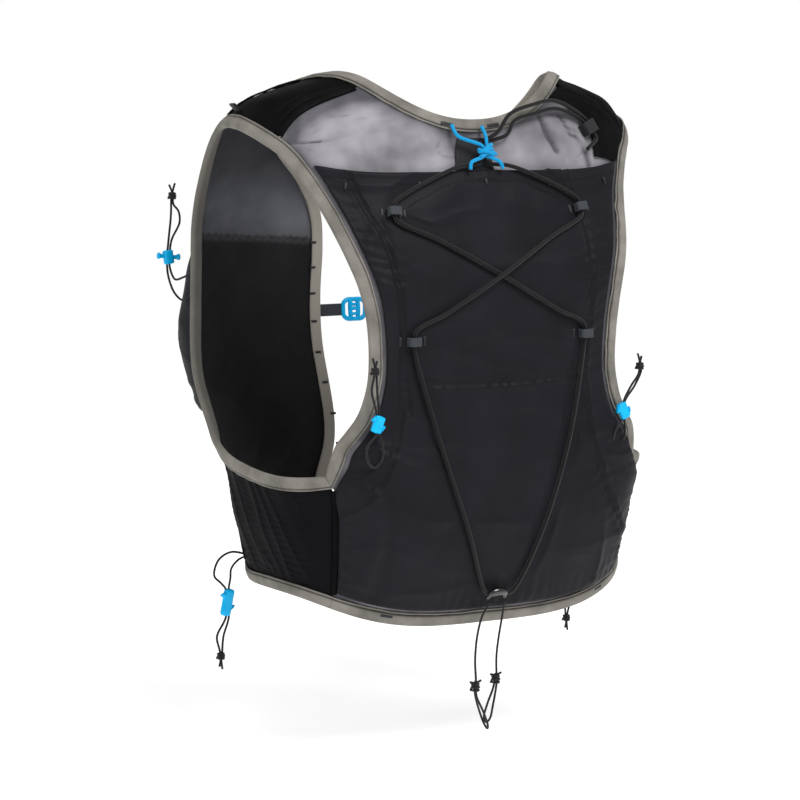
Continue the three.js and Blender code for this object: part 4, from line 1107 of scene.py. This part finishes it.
for side in ("left", "right"):
    for name, line, width, over_cloth in (
            ("shoulder_seam_fold", shoulder_seam[1:4] + [[-1.2, 0]], 6.5, 0.6),
            ("front_shoulder_fold", straight(armhole_inner[19], neck_side_inner[3], 3), 4.5, 0.6),
            ("side_seam_fold", straight(hem_inner[11], armhole_inner[0], 4), 4.0, 1.0),
            ("front_seam_fold", straight(hem_inner[5], armhole_inner[29], 4), 3.6, 0.6)):
        seam_fold(f"{name}_{side}", on_side(line, side), width, cloth_thickness + over_cloth)

# ---- Edge tapes: warm grey knitted binding folded over each free edge and held with one row of dark
# stitches near its inner edge. It is pulled a little as it is sewn, so it ripples along its length.
fold_turn = np.linspace(-math.pi / 2, math.pi / 2, 9)[1:-1]
tape_seen = 7.7
tape_profile = np.array([
    *[(x, -1.2) for x in np.linspace(tape_seen, 0, 5)],
    *[(-1.2 * math.cos(a), 0.5 + 1.7 * math.sin(a)) for a in fold_turn],
    *[(x, 2.2) for x in np.linspace(0, tape_seen, 15)]])
outer_leg = np.arange(len(tape_profile)) >= 12


def tape_finish(name, dark, light, thread):
    """Ribbed knitted tape with faint cross ribs, a sunk stitch line, and painted light and painted shade on its inner
    leg along the front.
    """
    material, tree, shader = surface(name, 0.8, 0.12, Sheen_Weight=0.06, Sheen_Roughness=0.5)
    u, v = cloth_uv(tree)
    cross = waves(tree, v, 0.0013)
    length = waves(tree, u, 0.0011)
    fuzz = object_noise(tree, 700.0, 3.0)
    colour = tint(tree, dark, light, 55.0)
    # Painted light and painted shade: the tape's inner leg along the front is paler where it is lit and darker where it
    # lies in shade.
    colour = blend_colours(tree, mark(tree, "painted_light"), colour, paint("99948b"))
    colour = blend_colours(tree, mark(tree, "painted_shade"), colour, paint("4a4844"))
    colour = blend_colours(tree, math_of(tree, "MULTIPLY", cross, 0.3), colour, dark, "MULTIPLY")
    stitch = mark(tree, "stitch")
    dashes = math_of(tree, "GREATER_THAN", waves(tree, v, 0.0026), 0.22)
    colour = blend_colours(tree, math_of(tree, "MULTIPLY", stitch, dashes), colour, thread)
    knit = math_of(tree, "ADD", math_of(tree, "ADD", cross, math_of(tree, "MULTIPLY", length, 0.5)), fuzz)
    height = math_of(tree, "SUBTRACT", knit, math_of(tree, "MULTIPLY", stitch, 2.5))
    dress(tree, shader, colour, height, 0.5, 0.00025)
    return material


edge_tape_finish = tape_finish("edge_tape", paint("6a6761"), paint("8b8780"), paint("262422"))


def folded_tape(name, node, edge, inner, times, seed, sign=1, wavy=0.35, painted_shade_share=0.0):
    edge, inner = closer(edge, times), closer(inner, times)
    if sign < 0:
        edge, inner = mirrored(edge), mirrored(inner)
    run_length = np.concatenate([[0], np.cumsum(np.linalg.norm(np.diff(skin(edge), axis=0), axis=1))])
    rows = []
    for (x, y), outside in zip(tape_profile, outer_leg):
        share = max(x, 0) / tape_width
        puff = 0.0
        if outside:
            puff = 0.45 * math.sin(math.pi * min(share / 0.66, 1)) - 0.45 * math.exp(-((share - 0.68) / 0.06) ** 2)
        ripple = wavy * (0.3 + share) * clouds(run_length / 7, np.full_like(run_length, share * 2.0 + y), seed)
        wander = 1 + 0.05 * clouds(run_length / 16, np.full_like(run_length, 0.5 * y), seed + 1) * share
        spots = edge + (inner - edge) * (share * wander)[:, None]
        point = at(spots, y + puff + ripple * (1 if outside else 0.4))
        if x < 0:
            beyond = skin(edge) - skin(inner)
            beyond *= -x / np.linalg.norm(beyond, axis=1, keepdims=True)
            point = point + beyond
        rows.append(point)
    points = np.stack(rows, axis=1)
    shape = bmesh.new()
    add_grid(shape, points)
    layers = [shape.verts.layers.float.new(key) for key in ("stitch", "painted_light", "painted_shade")]
    columns = points.shape[1]
    shares = np.where(outer_leg, np.maximum(tape_profile[:, 0], 0) / tape_seen, -1)
    strength = ridge(shares, 0.78, 0.07)
    # Painted light and painted shade fall on the inner leg along the front; on the armholes most of it is painted
    # shade.
    front = ramp(-np.minimum(edge[:, 0], 180 - edge[:, 0]), 8, 12)
    for k, v in enumerate(shape.verts):
        row, column = divmod(k, columns)
        inside = 0.0 if outer_leg[column] else 1.0
        values = (strength[column], inside * front[row] * (1 - painted_shade_share), inside * front[row] * painted_shade_share)
        for layer, value in zip(layers, values):
            v[layer] = float(value)
    piece = settle(name, shape, edge_tape_finish, "edge_tape", node, closed=False)
    thicken(piece, tape_thickness, 0)


folded_tape("neck_binding_tape", "neck_binding", neck_line, neck_inner, 9, 91)
for side, sign in (("left", 1), ("right", -1)):
    folded_tape(f"armhole_binding_tape_{side}", f"armhole_binding_{side}", armhole, armhole_inner,
                # On the armholes, most of the inner leg along the front gets painted shade rather than painted light.
                9, 95 + sign, sign, wavy=0.4 if sign > 0 else 0.9, painted_shade_share=0.55)
    folded_tape(f"side_hem_binding_tape_{side}", f"side_hem_binding_{side}", hem[1:12],
                hem_inner[1:12], 8, 101 + sign, sign)
folded_tape("back_hem_binding_tape", "back_hem_binding", hem[11:], hem_inner[11:], 14, 105)

# ---- Webbing: narrow woven nylon, ribbed across. Black down the middle of the yoke, slate for the two
# halves of the sternum strap, and small folded loops that guide the elastic or stand on the shoulders.


def webbing_finish(name, dark, light, pitch=0.0012):
    """Woven nylon webbing with a herringbone of close ribs and a worn, slightly paler face."""
    material, tree, shader = surface(name, 0.66, 0.25, Sheen_Weight=0.1)
    u, v = cloth_uv(tree)
    slant = waves(tree, math_of(tree, "ADD", v, math_of(tree, "MULTIPLY", math_of(tree, "ABSOLUTE", u), 0.8)), pitch)
    across = waves(tree, u, 0.0009)
    rib = math_of(tree, "MULTIPLY_ADD", across, 0.4, slant)
    dress(tree, shader, blend_colours(tree, math_of(tree, "MULTIPLY", rib, 0.6), dark, light), rib, 0.55, 0.0003)
    return material


black_webbing = webbing_finish("black_webbing", paint("09090b"), paint("212126"))
slate_webbing = webbing_finish("slate_webbing", paint("1f2226"), paint("3c4046"), 0.0016)
webbing_rows = np.array([straight(spot, (94, spot[1]), 1)
                         for spot in straight((82.5, 0.845), (82.5, 0.955), 3)])
webbing_spots = finer(webbing_rows, 16, 14)
wu, wv = runs_of(at(webbing_spots))
cloth_piece("centre_webbing_strip", webbing_spots,
            2 * cloth_thickness + gap + 0.4 * clouds(wu / 12, wv / 14, 111), black_webbing, "black_webbing",
            "centre_webbing")
strap_lift = cloth_thickness + 1.2 * gap + tape_thickness + 1.6
for side in ("left", "right"):
    rows = np.array([straight((-77, share), (-86.4, share), 3) for share in (0.5115, 0.5, 0.4885)])
    cloth_piece(f"sternum_webbing_{side}", finer(on_side(rows, side), 6, 14), strap_lift, slate_webbing,
                "sternum_webbing", f"sternum_strap_{side}", thickness=1.6)


def set_piece(name, points, spot, lift, material, slot, *nodes, wall=1.2):
    """A band of webbing bent to a line in local millimetres (across, up, out), set on the body form."""
    shape = bmesh.new()
    add_grid(shape, set_on(points, spot, lift))
    piece = settle(name, shape, material, slot, *nodes, closed=False)
    thicken(piece, wall, 0)
    soft = piece.modifiers.new("soft_edge", "BEVEL")
    soft.width = 0.25 * MM
    soft.segments = 2


def arch_points(width, height, length, wall=1.2, cells=8):
    """A low arch of webbing over a cord, its feet turned down on the cloth, its tunnel running up."""
    half, top, round_corner = width / 2 - wall / 2, height - wall / 2, 1.3
    turn = np.linspace(0, math.pi / 2, 6)
    rise = [(-half, z) for z in np.linspace(0, top - round_corner, 4)]
    rise += [(round_corner * (1 - math.cos(a)) - half, top + round_corner * (math.sin(a) - 1)) for a in turn[1:]]
    line = rise + [(x, top) for x in np.linspace(rise[-1][0], -rise[-1][0], 8)[1:-1]]
    line += [(-x, z) for x, z in rise[::-1]]
    along = np.linspace(-length / 2, length / 2, cells)
    return np.array([[(x, y, z) for x, z in line] for y in along])


guide_spots = {"upper": (65.2, 0.76), "lower": (68, 0.52)}
for name, spot in guide_spots.items():
    for side in ("left", "right"):
        here = on_side(spot, side)
        set_piece(f"guide_loop_{name}_{side}", arch_points(9.4, 5.6, 6), here,
                  float(pack_lift(here)) + cloth_thickness + gap, slate_webbing, "black_webbing",
                  f"bungee_guide_{name}_{side}")
set_piece("keeper_loop", arch_points(12, 6.6, 9), keeper, keeper_lift, black_webbing, "black_webbing", "yoke_keeper")


def shoulder_tab(side):
    """A folded end of webbing that stands up at the top of the armhole, its two legs sewn together."""
    t = np.linspace(0, math.pi, 9)
    loop = [(-0.55, z) for z in np.linspace(0, 5.6, 4)]
    loop += [(-0.55 * math.cos(a), 5.8 + 0.75 * math.sin(a)) for a in t[1:-1]]
    loop += [(0.55, z) for z in np.linspace(5.6, 0, 4)]
    points = np.array([[(x, y, z) for y, z in loop] for x in np.linspace(-4, 4, 8)])
    set_piece(f"shoulder_tab_loop_{side}", points, on_side((-8, 0.893), side), cloth_thickness - 0.4,
              black_webbing, "black_webbing", f"shoulder_tab_{side}", wall=0.8)


shoulder_tab("left")
shoulder_tab("right")

# ---- Bar tacks: dense black zigzag stitching where a tape, loop or seam is held. Each is a small raised
# block of close threads that follows the cloth under it.


def thread_finish():
    material, tree, shader = surface("black_thread", 0.5, 0.35)
    strands = waves(tree, cloth_uv(tree)[0], 0.0005)
    dress(tree, shader, blend_colours(tree, strands, paint("0a0a0c"), paint("2a2a2e")), strands, 0.5)
    return material


black_thread = thread_finish()


def bar_tack(shape, spot, lift, wide, tall, turn=0.0, inward=1):
    """One bar tack centred on a spot: rows of thread side by side, rounded down at the rim."""
    origin, across, upward, out = place_on(spot, 0)
    lean = math.radians(turn)
    x_way = across * math.cos(lean) + upward * math.sin(lean)
    y_way = upward * math.cos(lean) - across * math.sin(lean)
    columns, rows = 25, 7
    u, v = np.meshgrid(np.linspace(-1, 1, columns), np.linspace(-1, 1, rows))
    rim = (1 - np.abs(u) ** 6) * (1 - np.abs(v) ** 6)
    raised = 0.12 + 0.5 * rim * (0.75 + 0.25 * np.cos(u * 9 * math.pi))
    zigzag = 0.12 * np.sin(u * 9 * math.pi) * v
    points = (origin + ((u + zigzag * 0.2) * wide / 2)[..., None] * x_way + (v * tall / 2)[..., None] * y_way
              + (inward * (lift + raised))[..., None] * out)
    bottom = points - out * 0.5 * inward
    ring = np.concatenate([points, bottom[::-1], points[:1]])
    add_grid(shape, ring, tube=True)


def free_tacks(name, tacks):
    shape = bmesh.new()
    for tack in tacks:
        bar_tack(shape, *tack)
    settle(name, shape, black_thread, "black_cord")


tape_top = cloth_thickness + gap + tape_thickness + 0.15
free_tacks("neck_tape_tacks", [
    ((76.5, 0.986), tape_top, 10, 2.4, 0), ((99, 0.986), tape_top, 10, 2.4, 0)])
ladder = [(-77.7, share) for share in (0.646, 0.587, 0.534, 0.48, 0.419, 0.362, 0.3, 0.224)]
for side in ("left", "right"):
    free_tacks(f"front_edge_tacks_{side}", [
        (on_side(spot, side), 1.2 + 0.6, 4.6, 1.7, 0, -1) for spot in ladder])
free_tacks("hem_tacks", [((angle, 0.012), tape_top, 9, 1.8, 0) for angle in (58, 128)])
pack_hem_line = pack_rows[-1, 1:-1]
free_tacks("pack_hem_tacks", [
    (spot - [0, 0.03], float(pack_lift(spot)) + cloth_thickness + 0.5, 1.6, 5.0, 0) for spot in pack_hem_line[::2]])
guide_tacks = []
for name, spot in guide_spots.items():
    for side in ("left", "right"):
        here = on_side(spot, side)
        for shift in (-1, 1):
            foot = here + [shift * 2.6, 0]
            guide_tacks.append((foot, float(pack_lift(foot)) + cloth_thickness + 0.5, 1.8, 6.5, 0))
free_tacks("guide_tacks", guide_tacks)

# ---- Fittings: a moulded blue hook joins the sternum strap, and a glossy black moulded hook at the back
# hem holds both ends of the elastic and the two hanging cords.


def gloss_finish():
    material, tree, shader = surface("gloss_black_moulding", 0.12, 0.6, Coat_Weight=0.4)
    marks = object_noise(tree, 300.0)
    dress(tree, shader, blend_colours(tree, marks, paint("050506"), paint("111114")))
    tree.links.new(math_of(tree, "MULTIPLY_ADD", marks, 0.16, 0.06), shader.inputs["Roughness"])
    return material


gloss_black = gloss_finish()


def hook_cap():
    """The hook's cap: a fat crescent with rounded ends, hollow underneath, over the cords it holds."""
    spot = np.array((89, 0.058))
    lift = float(pack_lift(spot)) + cloth_thickness + 2 * gap
    shape = bmesh.new()
    t = np.linspace(-1, 1, 41)
    spine = np.stack([7.4 * t, 2.4 - 2.6 * t**2, 4.2 - 0.9 * t**2], axis=1)
    thick = 2.9 * np.sqrt(np.clip(1 - np.abs(t) ** 5, 0.001, 1)) * (0.82 + 0.18 * np.cos(t * math.pi / 2))
    add_tube(shape, set_on(spine, spot, lift), thick, 20)
    for side in (-1, 1):
        leg = np.linspace(0, 1, 14)
        legs = np.stack([side * (6.2 + 0.6 * leg), 0.4 - 3.4 * leg, 3.8 - 2.9 * leg], axis=1)
        add_tube(shape, set_on(legs, spot, lift), 1.5 * np.sqrt(np.clip(1 - (leg - 0.5) ** 8 * 200, 0.05, 1)), 12)
    settle("hem_hook_cap", shape, gloss_black, "black_plastic", "bottom_hook")


hook_cap()


def sternum_hook():
    """The sternum hook: a rounded rim with two upright bars across it, joined by three short ones."""
    shape = bmesh.new()
    bars = [
        ([(-9, -4.5), (-6, -7), (0, -7.3), (6, -7), (9, -4.5), (9.3, 0), (9, 4.5), (6, 7), (0, 7.3), (-6, 7), (-9, 4.5),
          (-9.3, 0), (-9, -4.5)], 1.7),
        ([(-3.1, -7), (-3.4, 0), (-3.1, 7)], 1.7), ([(3.1, -7), (3.4, 0), (3.1, 7)], 1.7),
        ([(-3, 0), (0, 0.6), (3, 0)], 1.5), ([(-3, 4), (0, 3.4), (3, 4)], 1.2), ([(-3, -4), (0, -3.4), (3, -4)], 1.2)]
    for line, radius in bars:
        path = evenly([(x, y, 1.7) for x, y in line], 0.7)
        add_tube(shape, set_on(path, (-90, 0.5), cloth_thickness), radius, 10)
    settle("sternum_hook_plate", shape, blue_moulding, "blue_plastic", "sternum_hook")


sternum_hook()

# ---- Blue tie: two blue braided cords come from the neck tape, pass through one tight knot over the
# elastic and end behind the pack's top edge.
tie = 2.6
blue_braid = braid("blue_tie_cord", paint("008ac0"), paint("06bdf2"), tie * MM, 0.12)
tie_start = cloth_thickness + 2 * gap + tape_thickness + tie / 2 + 0.3
tie_aside = tie / 2 + gap / 2


def through_knot(aside):
    return [near(tie_knot_spot, tie_knot_lift, aside, y) for y in (3, -3)]


tie_routes = {
    "left": [at((78, 0.983), tie_start), at((81, 0.953), tie_knot_lift - 2.5), *through_knot(-tie_aside),
             at((85.4, 0.88), 11), at((85.2, 0.863), 10)],
    "right": [at((92.3, 0.983), tie_start), at((91.8, 0.955), tie_knot_lift - 2), *through_knot(tie_aside),
              at((94.2, 0.88), 11), at((94.8, 0.863), 10)],
}
for side, route in tie_routes.items():
    shape = bmesh.new()
    add_tube(shape, evenly(route, 1.0), tie / 2, 12)
    settle(f"blue_tie_{side}", shape, blue_braid, "blue_cord", f"tie_cord_{side}")


def blue_knot():
    """The blue knot: three leaning wraps round the cords, and a cut end standing out to each side."""
    shape = bmesh.new()
    for lean, rise in ((0.45, 1.6), (-0.5, -1.5), (0.1, 0.2)):
        turn = np.linspace(0, 2 * math.pi, 41)
        ring = np.stack([5.0 * np.cos(turn), rise + 5.0 * lean * np.cos(turn) + 0.7 * np.sin(2 * turn),
                         2.7 * np.sin(turn)], axis=1)
        add_tube(shape, set_on(ring, tie_knot_spot, tie_knot_lift), tie / 2, 12)
    t = np.linspace(0, 1, 16)
    for end in ([6.5, -3.5, 1.5], [-6.0, -4.5, 1.0]):
        tail = np.stack([end[0] * t + 2.2 * np.sin(3 * t), end[1] * t, end[2] + 0 * t], axis=1)
        add_tube(shape, set_on(tail, tie_knot_spot, tie_knot_lift), tie / 2, 12)
    settle("blue_tie_knot", shape, blue_braid, "blue_cord", "tie_knot")


blue_knot()
